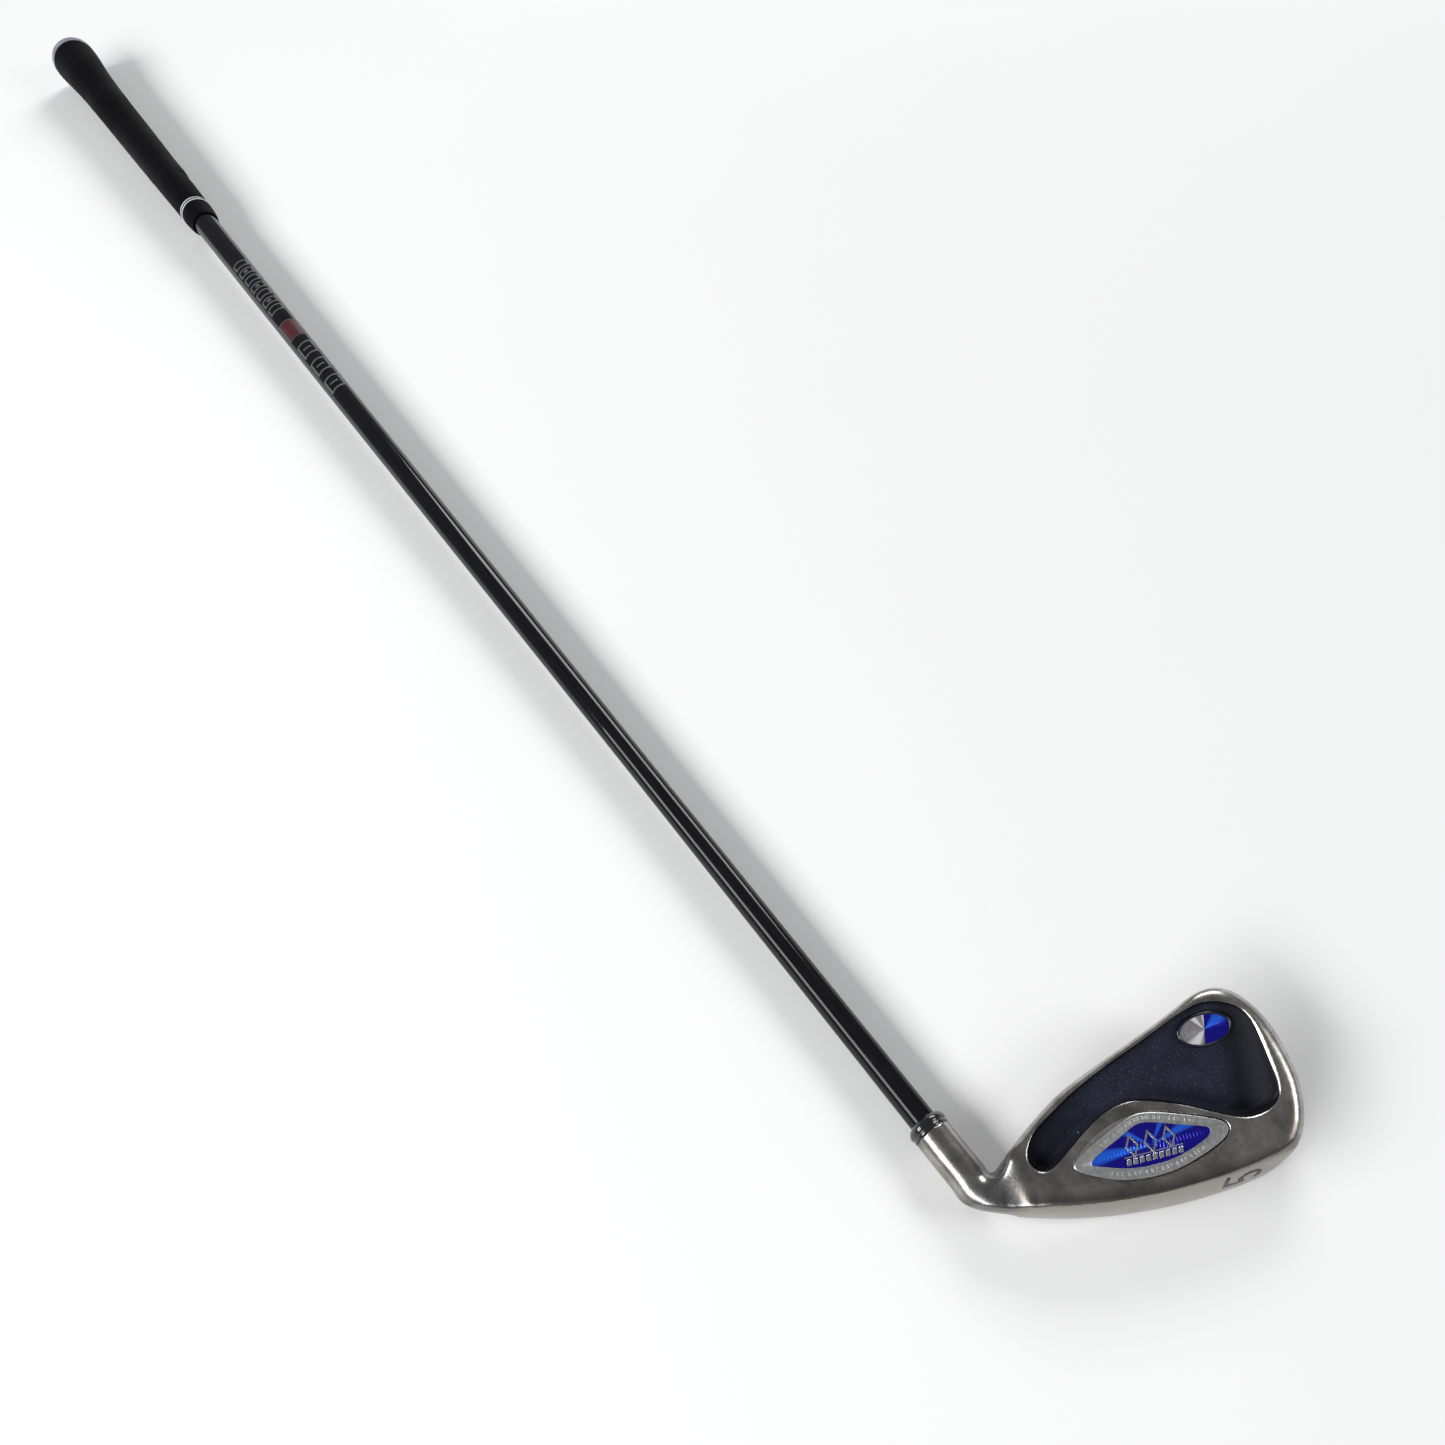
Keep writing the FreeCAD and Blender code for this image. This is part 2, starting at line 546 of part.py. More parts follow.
def weight_parts():
    """Chamber behind the medallion, its tungsten pellets and the resin that holds them."""
    length, height, depth = CHAMBER
    chamber = Part.makeBox(length, height, depth + 0.001, Vector(-length / 2, -height / 2, -depth))
    pitch_x, pitch_y = length / PELLETS_LONG, height / PELLETS_HIGH
    pellets = []
    for column in range(PELLETS_LONG):
        for row in range(PELLETS_HIGH):
            along = (column + 0.5) * pitch_x - length / 2
            across = (row + 0.5) * pitch_y - height / 2
            pellets.append(Part.makeSphere(PELLET_RADIUS, Vector(along, across, -depth / 2)))
    binder = Part.makeBox(length, height, depth, Vector(-length / 2, -height / 2, -depth)).cut(pellets)
    placement = medallion_placement(MEDALLION_POCKET)
    for shape in [chamber, binder] + pellets:
        shape.Placement = placement.multiply(shape.Placement)
    return chamber, Part.makeCompound(pellets), binder


def club_head(openings):
    """One casting: hosel, neck and blade, less every pocket, bore and groove."""
    head = blade_solid().fuse([neck_solid(), hosel_solid()])
    bore = along_shaft(Part.makeCylinder(BORE_RADIUS, 60, Vector(0, 0, BORE_BOTTOM)))
    cavity = cavity_space(FACE_THICKNESS, TOE_RAMP_RADIUS)
    return head.cut([bore, cavity, score_lines()] + openings)


def resting_placement():
    """Lays the blade frame down: face to the floor, shaft along -X from the head."""
    to_address = Rotation(Vector(1, 0, 0), LOFT)
    lie = math.radians(LIE)
    to_head = Vector(math.cos(lie), 0, -math.sin(lie))
    back = Vector(0, -1, 0)
    flat = Rotation(to_head, back.cross(to_head), back, "ZXY").inverted()
    roll = Rotation(Vector(1, 0, 0), -REST_ROLL)
    pitch = Rotation(Vector(0, 1, 0), REST_PITCH)
    return Placement(Vector(0, 0, 0), pitch.multiply(roll).multiply(flat).multiply(to_address))


def main():
    pocket, glue, plate, inlay, emblem = medallion_parts()
    badge_pocket, badge_glue, bezel, disc, lacquer = badge_parts()
    chamber, pellets, binder = weight_parts()
    numeral = numeral_prism()
    engraving = numeral.cut(sole_solid(NUMERAL_DEPTH))
    tip_weight = Part.makeCylinder(SHAFT_TIP_BORE, TIP_WEIGHT_LENGTH, Vector(0, 0, SHAFT_TIP))
    tape_low = GRIP_PROFILE[0][0] + 4.0
    parts = {
        "club_head": club_head([pocket, badge_pocket, chamber, engraving]),
        "cavity_coating": cavity_coating().cut(badge_pocket),
        "sole_number_fill": numeral.common(sole_solid(0.05)).cut(sole_solid(NUMERAL_DEPTH)),
        "sole_medallion_adhesive": glue,
        "sole_medallion_plate": plate,
        "sole_medallion_inlay": inlay,
        "sole_medallion_emblem": emblem,
        "toe_badge_adhesive": badge_glue,
        "toe_badge_bezel": bezel,
        "toe_badge_disc": disc,
        "toe_badge_lacquer": lacquer,
        "tungsten_pellets": pellets,
        "pellet_binder": binder,
        "shaft": along_shaft(shaft_tube()),
        "hosel_epoxy": along_shaft(hosel_epoxy()),
        "ferrule": along_shaft(ferrule()),
        "tip_weight": along_shaft(tip_weight),
        "shaft_lettering_blocks": along_shaft(Part.makeCompound(lettering_blocks())),
        "shaft_red_band": along_shaft(decal(RED_LOW, RED_TOP, LETTERING_SWING)),
        "grip_sleeve": along_shaft(grip_sleeve()),
        "grip_rings": along_shaft(Part.makeCompound(grip_rings())),
        "grip_end_cap": along_shaft(grip_end_cap()),
        "grip_tape": along_shaft(tube_over_shaft(tape_low, SHAFT_BUTT, 0.0, TAPE)),
    }
    for shape in parts.values():
        shape.Placement = resting_placement().multiply(shape.Placement)
    outermost = ("club_head", "shaft", "grip_sleeve", "grip_end_cap")
    club = Part.makeCompound([parts[name] for name in outermost])
    box = club.optimalBoundingBox(False, False)
    to_origin = Vector(-box.Center.x, -box.Center.y, -box.ZMin)
    os.makedirs("parts", exist_ok=True)
    for name, shape in parts.items():
        shape.translate(to_origin)
        shape.exportStep("parts/" + name + ".step")


if __name__ == "__main__":
    main()
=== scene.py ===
"""Looks of a right-handed iron golf club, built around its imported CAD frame.

The scene is in metres, in the row frame. Shapes of the club are drawn in millimetres in one of
two frames of its own, and carried into the row frame by a matrix:
  blade frame  x toward the toe, y out of the striking face, z up the face; depth is -y.
  shaft frame  z up the shaft axis from the point where it meets the ground at address.
"""

import json
import math

import bpy
import numpy as np
from mathutils import Matrix, Vector
from mathutils.geometry import delaunay_2d_cdt


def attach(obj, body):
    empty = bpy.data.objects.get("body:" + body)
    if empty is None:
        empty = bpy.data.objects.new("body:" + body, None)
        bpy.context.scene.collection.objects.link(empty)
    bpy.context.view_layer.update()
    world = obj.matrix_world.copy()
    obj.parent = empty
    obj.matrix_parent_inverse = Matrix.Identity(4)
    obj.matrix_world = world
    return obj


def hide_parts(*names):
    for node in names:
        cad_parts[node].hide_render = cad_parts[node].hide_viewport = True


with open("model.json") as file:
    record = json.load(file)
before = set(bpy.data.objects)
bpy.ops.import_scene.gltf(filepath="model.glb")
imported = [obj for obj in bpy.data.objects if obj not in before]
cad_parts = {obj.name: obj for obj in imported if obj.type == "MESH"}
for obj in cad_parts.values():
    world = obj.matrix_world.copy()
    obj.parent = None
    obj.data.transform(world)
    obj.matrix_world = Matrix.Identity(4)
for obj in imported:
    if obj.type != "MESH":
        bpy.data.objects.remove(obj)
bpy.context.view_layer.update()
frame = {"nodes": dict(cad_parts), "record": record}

MM = 0.001

# Club geometry, as in the CAD
LIE = math.radians(61.5)
LOFT = math.radians(27.0)
FACE_AHEAD = 3.4
VENT_MIDDLE = 945.25
BLADE_OUTLINE = [(3.0, 21.2), (5.5, 24.0), (12.0, 30.0), (22.3, 38.2), (42.8, 49.3),
                 (63.2, 60.2), (70.0, 64.0), (76.5, 65.8), (83.6, 64.2), (89.6, 58.6),
                 (93.7, 51.6), (97.3, 39.5), (97.9, 31.0), (96.2, 22.0), (91.5, 14.2),
                 (84.5, 6.0), (79.0, 0.5)]
OUTLINE_FEET = [(60.0, -12.0), (3.0, -12.0)]
CAVITY_OUTLINE = [(8.8, 20.3), (11.6, 16.9), (15.2, 17.4), (20.0, 21.0), (30.0, 29.2),
                  (37.5, 33.4), (45.5, 34.8), (58.5, 32.2), (72.6, 27.3), (80.0, 26.4),
                  (87.2, 29.2), (90.7, 36.0), (89.9, 46.5), (86.4, 56.0), (80.5, 60.6),
                  (74.0, 61.7), (67.5, 60.4), (50.6, 51.8), (30.4, 41.2), (15.6, 31.0),
                  (10.6, 26.0)]
TOP_LINE_THICKNESS = 6.0
TOP_LINE_SLOPE = math.radians(29.9)
TOP_LINE_POINT = (73.5, 65.3)
UPPER_BACK_TAPER = 0.30
LOWER_BACK_TAPER = 0.184
LOWER_BACK_START = 60.0
SOLE_ROCKER_RADIUS = 180.0
SOLE_CAMBER_RADIUS = 40.0
SOLE_LOW_POINT = (36.0, -4.5)
FACE_THICKNESS = 3.2
TOE_RAMP_START = 78.0
TOE_RAMP_RADIUS = 14.0
BORE_RADIUS = 4.85
BORE_BOTTOM = 16.0
HOSEL_RADIUS = 6.45
HOSEL_TOP = 37.0
MEDALLION_CENTRE = (46.2, 21.4)
MEDALLION_TILT = math.radians(7.1)
PLATE_GAP = 0.35
POCKET_DEPTH = 1.8
BADGE_CENTRE = (71.4, 53.4)
BADGE_TILT = math.radians(8.0)
NUMERAL_CENTRE = (74.2, 9.0)
PLATE_OUTLINE = [(-25.3, -0.8), (-23.8, 1.2), (-19.3, 3.6), (-13.6, 6.0), (-8.2, 8.2),
                 (-4.1, 9.6), (-0.8, 10.0), (2.8, 9.5), (7.6, 8.2), (12.3, 6.6), (17.0, 4.9),
                 (21.5, 3.0), (24.6, 1.0), (24.6, -1.5), (20.4, -4.3), (15.4, -6.1),
                 (10.0, -7.6), (4.6, -8.6), (-0.6, -8.9), (-6.4, -8.6), (-12.4, -7.6),
                 (-18.4, -5.4), (-23.2, -2.9)]
INLAY_OUTLINE = [(-19.8, -1.2), (-17.9, 0.5), (-14.2, 2.2), (-10.2, 3.8), (-6.1, 5.6),
                 (-3.6, 6.6), (-1.4, 7.0), (1.2, 6.7), (5.0, 5.6), (9.2, 4.2), (13.6, 2.8),
                 (17.2, 1.7), (19.1, 0.6), (18.6, -0.9), (15.4, -2.6), (12.1, -3.7),
                 (8.3, -4.7), (3.8, -5.4), (-0.6, -5.6), (-5.4, -5.4), (-10.2, -4.6),
                 (-14.4, -3.4), (-18.0, -2.2)]
GRIP_PROFILE = [(697.0, 7.7), (703.0, 8.5), (724.0, 9.0), (750.0, 9.45), (780.0, 9.9),
                (815.0, 10.4), (850.0, 10.75), (887.0, 11.4), (908.0, 12.2), (926.0, 13.4),
                (936.0, 13.85), (943.5, 13.8)]

# Details of the looks: the head's fields are sampled on a grid, and its edges rounded to radii
GRID = 0.45
BACK_RIDGE = 4.0
TOP_EDGE = 3.0
TOE_EDGE = 5.5
FACE_EDGE = 1.2
SOLE_EDGE = 1.2
SCOOP_EDGE = 2.2
CAVITY_EDGE = 1.0
POCKET_EDGE = 0.35
FLOOR_FILLET = 1.6
ENGRAVED_HALF_STROKE = 0.85
ENGRAVED_DEPTH = 0.4
PAINTED_HALF_STROKE = 0.62
NECK_END = 16.0
SCOOP_START = 3.4
SCOOP_LEVEL = 7.7
SCOOP_SLOPE = 0.62
GROOVE_LOW = 7.0
GROOVE_PITCH = 3.6
GROOVE_COUNT = 13
GROOVE_WIDTH = 0.8
GROOVE_DEPTH = 0.4
GROOVE_HEEL = 18.0
GROOVE_TOE = 80.0
GROOVE_MARGIN = 7.0


# ---------------------------------------------------------------- frames

MOUNTS = {mount["name"]: mount for mount in frame["record"]["mounts"]}
AXIS_IN_BLADE = Vector((-math.cos(LIE), math.sin(LIE) * math.sin(LOFT),
                        math.sin(LIE) * math.cos(LOFT)))


def matrix_of(x_axis, y_axis, z_axis, origin):
    """Matrix whose columns are three axes and an origin."""
    columns = [Vector(x_axis).to_4d(), Vector(y_axis).to_4d(), Vector(z_axis).to_4d()]
    for column in columns:
        column.w = 0.0
    return Matrix(columns + [Vector(origin).to_4d()]).transposed()


def blade_to_row():
    """Carries blade-frame millimetres into row-frame metres, read from two of the mounts."""
    face = Vector(MOUNTS["striking_face"]["axis"]).normalized()
    shaft = Vector(MOUNTS["grip_vent_hole"]["axis"]).normalized()
    in_plane = shaft - face * AXIS_IN_BLADE.y
    across = face.cross(in_plane)
    size = AXIS_IN_BLADE.x ** 2 + AXIS_IN_BLADE.z ** 2
    toe = (in_plane * AXIS_IN_BLADE.x + across * AXIS_IN_BLADE.z) / size
    ground = Vector(MOUNTS["grip_vent_hole"]["pos_m"]) - shaft * (VENT_MIDDLE * MM)
    origin = ground + face * (FACE_AHEAD * MM)
    return matrix_of(toe * MM, face * MM, toe.cross(face) * MM, origin)


BLADE = blade_to_row()
GROUND_POINT = Vector((0, -FACE_AHEAD, 0))
SHAFT_TURN = Vector((0, 0, 1)).rotation_difference(AXIS_IN_BLADE).to_matrix().to_4x4()
SHAFT = BLADE @ Matrix.Translation(GROUND_POINT) @ SHAFT_TURN


def on_shaft_axis(up):
    return GROUND_POINT + AXIS_IN_BLADE * up


def lower_back_depth(up):
    return TOP_LINE_THICKNESS + LOWER_BACK_TAPER * (LOWER_BACK_START - up)


def upper_back_depth(x, z):
    toe, up = TOP_LINE_POINT
    below = (x - toe) * math.sin(TOP_LINE_SLOPE) - (z - up) * math.cos(TOP_LINE_SLOPE)
    return TOP_LINE_THICKNESS + UPPER_BACK_TAPER * below


def plate_frame(centre, outward, tilt):
    """Frame on a back surface: x along the plate toward the toe, z out of the surface."""
    outward = Vector(outward).normalized()
    along = Vector((math.cos(tilt), 0, math.sin(tilt)))
    along = (along - outward * along.dot(outward)).normalized()
    return matrix_of(along, outward.cross(along), outward, centre)


# Frame of the club held ready: x toward the toe, y up from the ground
ADDRESS = BLADE @ matrix_of((1, 0, 0), (0, math.sin(LOFT), math.cos(LOFT)),
                            (0, -math.cos(LOFT), math.sin(LOFT)), GROUND_POINT)
MEDALLION = plate_frame((MEDALLION_CENTRE[0], -lower_back_depth(MEDALLION_CENTRE[1]),
                         MEDALLION_CENTRE[1]), (0, -1, LOWER_BACK_TAPER), MEDALLION_TILT)
BADGE = plate_frame((BADGE_CENTRE[0], -FACE_THICKNESS, BADGE_CENTRE[1]), (0, -1, 0), BADGE_TILT)


# ---------------------------------------------------------------- pieces

def put_in_scene(name, data):
    thing = bpy.data.objects.new(name, data)
    bpy.context.scene.collection.objects.link(thing)
    return thing


def add_piece(name, shape, place, material, node, sharp):
    """Makes a smooth-shaded mesh from points and faces in one of the club's frames."""
    points, faces = shape
    mesh = bpy.data.meshes.new(name)
    mesh.from_pydata([tuple(point) for point in points], [], [tuple(face) for face in faces])
    mesh.transform(place)
    mesh.validate()
    mesh.shade_smooth()
    mesh.set_sharp_from_angle(angle=math.radians(sharp))
    mesh.materials.append(material)
    piece = put_in_scene(name, mesh)
    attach(piece, "root")
    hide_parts(node)


def unit_rows(rows):
    return rows / np.linalg.norm(rows, axis=1)[:, None]


def ring_bridge(rings, count, closed):
    """Quads between successive rings of count points, and back to the first if closed."""
    faces = []
    for ring in range(rings if closed else rings - 1):
        low, high = ring * count, ((ring + 1) % rings) * count
        for step in range(count):
            after = (step + 1) % count
            faces.append((low + step, low + after, high + after, high + step))
    return faces


def turned(profile, segments, shape=None):
    """Points and faces turned about z from a closed (height, radius) profile."""
    points = []
    for up, radius in profile:
        for step in range(segments):
            angle = math.tau * step / segments
            reach = radius if shape is None else shape(up, radius, angle)
            points.append((reach * math.cos(angle), reach * math.sin(angle), up))
    return points, ring_bridge(len(profile), segments, True)


def smooth_line(points, per_span, closed=False):
    """Cubic spline through the points, with spans spaced by the root of their length."""
    knots = np.array(points, float)
    if closed:
        knots = np.vstack([knots, knots[:1]])
    gaps = np.sqrt(np.linalg.norm(np.diff(knots, axis=0), axis=1))
    size = len(knots)
    system, right = np.zeros((size, size)), np.zeros((size, knots.shape[1]))
    rates = np.diff(knots, axis=0) / gaps[:, None]
    for row in range(1, size - 1):
        system[row, row - 1:row + 2] = gaps[row - 1], 2 * (gaps[row - 1] + gaps[row]), gaps[row]
        right[row] = 6 * (rates[row] - rates[row - 1])
    system[0, 0] = system[-1, -1] = 1.0
    if closed:
        system[-1, 0] = -1.0
        system[0, :2] = 2 * (gaps[0] + gaps[-1]), gaps[0]
        system[0, -2] = gaps[-1]
        right[0] = 6 * (rates[0] - rates[-1])
    bends = np.linalg.solve(system, right)
    line = []
    for span, gap in enumerate(gaps):
        for step in range(per_span):
            a, b = 1 - step / per_span, step / per_span
            line.append(a * knots[span] + b * knots[span + 1]
                        + ((a ** 3 - a) * bends[span] + (b ** 3 - b) * bends[span + 1]) * gap ** 2 / 6)
    return np.array(line if closed else line + [knots[-1]])


# ---------------------------------------------------------------- solid fields, negative inside

def common(first, second, radius):
    """What two fields share, with its edge rounded to a radius."""
    corner = np.hypot(np.maximum(first + radius, 0), np.maximum(second + radius, 0))
    return np.minimum(np.maximum(first, second), -radius) + corner


def joined(first, second, radius):
    """Two fields together, with the inner corner filled to a radius."""
    corner = np.hypot(np.maximum(radius - first, 0), np.maximum(radius - second, 0))
    return np.maximum(np.minimum(first, second), radius) - corner


def path_distance(points, x, y):
    """Distance in a plane to the nearest of the straight strokes between points."""
    nearest = np.full(x.shape, 1e9)
    for (ax, ay), (bx, by) in zip(points, points[1:]):
        dx, dy = bx - ax, by - ay
        share = np.clip(((x - ax) * dx + (y - ay) * dy) / (dx * dx + dy * dy), 0, 1)
        nearest = np.minimum(nearest, (x - ax - share * dx) ** 2 + (y - ay - share * dy) ** 2)
    return np.sqrt(nearest)


def outline_field(outline, x, y):
    """Signed distance in a plane to a closed outline."""
    closed = np.vstack([outline, outline[:1]])
    crossings = np.zeros(x.shape, bool)
    for (ax, ay), (bx, by) in zip(closed, closed[1:]):
        if by != ay:
            crossings ^= ((ay > y) != (by > y)) & (x < ax + (y - ay) * (bx - ax) / (by - ay))
    return np.where(crossings, -1, 1) * path_distance(closed, x, y)


def sole_field(x, y, z):
    """The cambered and rockered sole, a torus seen from inside."""
    toe, ahead = SOLE_LOW_POINT
    back_ahead = (y + FACE_AHEAD) * math.cos(LOFT) - z * math.sin(LOFT) - ahead
    height = (y + FACE_AHEAD) * math.sin(LOFT) + z * math.cos(LOFT)
    rocker = np.hypot(x - toe, height - SOLE_ROCKER_RADIUS)
    rim = SOLE_ROCKER_RADIUS - SOLE_CAMBER_RADIUS
    camber = np.hypot(np.maximum(rocker - rim, 0), back_ahead)
    return camber - SOLE_CAMBER_RADIUS


def blade_field(x, y, z, outline):
    """Blade between its face, its two-plane back and the scoop that falls to the neck."""
    depth = -y
    lower = (depth - lower_back_depth(z)) / math.hypot(1, LOWER_BACK_TAPER)
    upper = (depth - upper_back_depth(x, z)) / math.hypot(1, UPPER_BACK_TAPER)
    back = common(lower, upper, BACK_RIDGE)
    toe_share = np.clip((x - 70.0) / 14.0, 0, 1)
    blade = common(outline, back, TOP_EDGE + (TOE_EDGE - TOP_EDGE) * toe_share)
    return common(blade, -depth, FACE_EDGE)


def scoop_field(x, depth):
    """Heel scoop: the back falls away toward the neck, then levels off over it."""
    past = x - SCOOP_START
    rise = SCOOP_SLOPE * 0.5 * (past + np.hypot(past, 3.0))
    return (depth - SCOOP_LEVEL - rise) / math.hypot(1, 0.8 * SCOOP_SLOPE)


def neck_sections():
    """Sections from the hosel top to the heel: centre, tilt, height, width, squareness,
    taper toward the top of the back, and share of the hosel's own front direction."""
    hosel = (HOSEL_RADIUS, HOSEL_RADIUS, 2.0, 0.0, 1.0)
    return [(on_shaft_axis(HOSEL_TOP), 31.4, *hosel),
            (on_shaft_axis(27.0), 31.4, *hosel),
            (on_shaft_axis(18.5), 32.5, *hosel),
            ((-7.6, 2.4, 12.3), 41.0, 6.4, 6.3, 2.05, 0.0, 0.8),
            ((-4.2, -0.2, 11.4), 60.0, 6.6, 5.8, 2.2, 0.05, 0.4),
            ((0.6, -2.9, 12.0), 82.0, 8.4, 5.3, 2.5, 0.15, 0.0),
            ((6.0, -4.5, 13.1), 90.0, 10.8, 4.6, 3.2, 0.28, 0.0),
            ((12.0, -4.8, 15.6), 90.0, 12.4, 4.2, 3.4, 0.28, 0.0)]


def neck_stations(per_span):
    """Densely spaced sections, each one array: centre, up, front, normal, height, width,
    squareness and taper."""
    rows = [(*centre, math.radians(tilt), *rest) for centre, tilt, *rest in neck_sections()]
    stations = []
    hosel_front = (Vector((0, 1, 0)) - AXIS_IN_BLADE * AXIS_IN_BLADE.y).normalized()
    for row in smooth_line(rows, per_span):
        centre, tilt = Vector(row[:3]), row[3]
        upward = Vector((math.cos(tilt), 0, math.sin(tilt)))
        share = min(max(row[8], 0.0), 1.0)
        front = (hosel_front * share + Vector((0, 1, 0)) * (1 - share)).normalized()
        normal = upward.cross(-front).normalized()
        stations.append(np.array([*centre, *upward, *front, *normal, *row[4:8]]))
    return stations


def neck_field(x, y, z):
    """Bent bar of changing oval section, swept from the hosel and faded out in the blade."""
    field = np.full(x.shape, 1e3)
    near = x[:, 0, 0] < NECK_END
    x, y, z = x[near], y[near], z[near]
    found = np.full(x.shape, 1e3)
    stations = neck_stations(8)
    offset = gaps_along(x, y, z, stations[0][:3], stations[0][9:12])
    above_top = offset < 0
    found[above_top] = -offset[above_top]
    for here, ahead in zip(stations, stations[1:]):
        offset_ahead = gaps_along(x, y, z, ahead[:3], ahead[9:12])
        span = (offset >= 0) & (offset_ahead < 0)
        share = offset[span] / (offset[span] - offset_ahead[span])
        section = section_field(x[span], y[span], z[span], here, ahead, share)
        found[span] = np.minimum(found[span], section)
        offset = offset_ahead
    field[near] = found + 4.5 * np.clip((x - 3.0) / 8.0, 0, 1) ** 2
    return field


def gaps_along(x, y, z, centre, axis):
    return (x - centre[0]) * axis[0] + (y - centre[1]) * axis[1] + (z - centre[2]) * axis[2]


def section_field(x, y, z, here, ahead, share):
    """Distance outside the oval section found between two stations."""
    mixed = [start * (1 - share) + end * share for start, end in zip(here, ahead)]
    height, width, squareness, taper = mixed[12:]
    rise = gaps_along(x, y, z, mixed[:3], mixed[3:6]) / height
    side = gaps_along(x, y, z, mixed[:3], mixed[6:9]) / width
    side = (side - taper * rise) / np.maximum(1 - taper * rise, 0.3)
    size = np.maximum((np.abs(rise) ** squareness + np.abs(side) ** squareness), 1e-6)
    size = size ** (1 / squareness)
    pull_up = (np.abs(rise) / size) ** (squareness - 1) / height
    pull_out = (np.abs(side) / size) ** (squareness - 1) / width
    return (size - 1) / np.hypot(pull_up, pull_out)


def cavity_field(x, y, z, outline):
    """Space open to the back: flat floor with a curved ramp climbing to the toe rim."""
    depth = -y
    past = np.maximum(x - TOE_RAMP_START, 0)
    ramp = np.hypot(past, depth - FACE_THICKNESS - TOE_RAMP_RADIUS) - TOE_RAMP_RADIUS
    low = depth < FACE_THICKNESS + TOE_RAMP_RADIUS
    floor = np.where(low, ramp, past - TOE_RAMP_RADIUS)
    return common(outline, floor, FLOOR_FILLET)


def medallion_pocket_field(x, y, z):
    """Eye-shaped pocket in the lower back, only worked out near it."""
    mx, my, mz = in_frame(MEDALLION, x, y, z)
    field = np.full(x.shape, 1e2)
    near = (np.abs(mx) < 27.0) & (np.abs(my) < 12.5) & (mz > -3.5)
    edge = outline_field(smooth_line(PLATE_OUTLINE, 5, True), mx[near], my[near]) - PLATE_GAP
    field[near] = np.maximum(edge, -mz[near] - POCKET_DEPTH)
    return field


def in_frame(matrix, x, y, z):
    """Coordinates in a local frame of the blade."""
    turn = matrix.inverted()
    return [turn[row][0] * x + turn[row][1] * y + turn[row][2] * z + turn[row][3]
            for row in range(3)]


def numeral_path():
    """Middle line of the numeral five, its top at positive y: bar, stem and open bowl."""
    bowl = [(2.4 * math.cos(turn), 3.275 * math.sin(turn) - 2.375)
            for turn in np.radians(np.linspace(126, -146, 30))]
    return np.array([(3.0, 5.65), (-2.4, 5.65), (-2.4, 0.15)] + bowl)


def numeral_frame():
    """Frame on the sole, its y toward the heel and its z out of the metal."""
    toe, depth = NUMERAL_CENTRE
    rocker = (toe - SOLE_LOW_POINT[0]) ** 2 / (2 * SOLE_ROCKER_RADIUS)
    up = (rocker + (depth - FACE_AHEAD) * math.sin(LOFT)) / math.cos(LOFT)
    outward = Vector((0, -math.sin(LOFT), -math.cos(LOFT)))
    heel = Vector((-1, 0, 0))
    return matrix_of(heel.cross(outward), heel, outward, (toe, -depth, up))


def engraving_field(x, y, z):
    """Numeral engraved in the sole, only worked out near it."""
    nx, ny, nz = in_frame(numeral_frame(), x, y, z)
    field = np.full(x.shape, 1e2)
    near = (np.abs(nx) < 5.0) & (np.abs(ny) < 8.0) & (np.abs(nz) < 2.0)
    depth = -sole_field(x[near], y[near], z[near]) - ENGRAVED_DEPTH
    edge = path_distance(numeral_path(), nx[near], ny[near]) - ENGRAVED_HALF_STROKE
    field[near] = np.maximum(edge, depth)
    return field


def build_numeral(material):
    """Paint lying in the engraved numeral, just under the surface of the sole."""
    path, place = numeral_path(), numeral_frame()
    along = unit_rows(np.diff(path, axis=0))
    before, after = np.vstack([along[:1], along]), np.vstack([along, along[-1:]])
    middle = unit_rows(before + after)
    stretch = PAINTED_HALF_STROKE / np.maximum((middle * before).sum(1), 0.5)
    across = np.stack([-middle[:, 1], middle[:, 0]], 1) * stretch[:, None]
    points = []
    for left, right in zip(path + across, path - across):
        for (x, y), below in ((left, 0.06), (right, 0.06), (right, 0.38), (left, 0.38)):
            height = 0.0
            for _ in range(3):
                spot = [np.array([value]) for value in place @ Vector((x, y, height))]
                height -= float(sole_field(*spot)[0]) + below
            points.append((x, y, height))
    faces = ring_bridge(len(path), 4, False)
    last = 4 * (len(path) - 1)
    faces += [(3, 2, 1, 0), (last, last + 1, last + 2, last + 3)]
    add_piece("sole_numeral", (points, faces), BLADE @ place, material,
              "sole_number_fill", 30.0)


def groove_field(x, y, z):
    """Score lines across the striking face, shortened under the top line."""
    line = np.clip(np.round((z - GROOVE_LOW) / GROOVE_PITCH), 0, GROOVE_COUNT - 1)
    middle = GROOVE_LOW + line * GROOVE_PITCH
    below = TOP_LINE_POINT[1] - GROOVE_MARGIN - middle
    heel = np.maximum(GROOVE_HEEL, TOP_LINE_POINT[0] - below / math.tan(TOP_LINE_SLOPE))
    ends = np.maximum(heel - x, x - GROOVE_TOE)
    across = np.abs(z - middle) - GROOVE_WIDTH / 2
    return np.maximum(np.maximum(across, -y - GROOVE_DEPTH), ends)


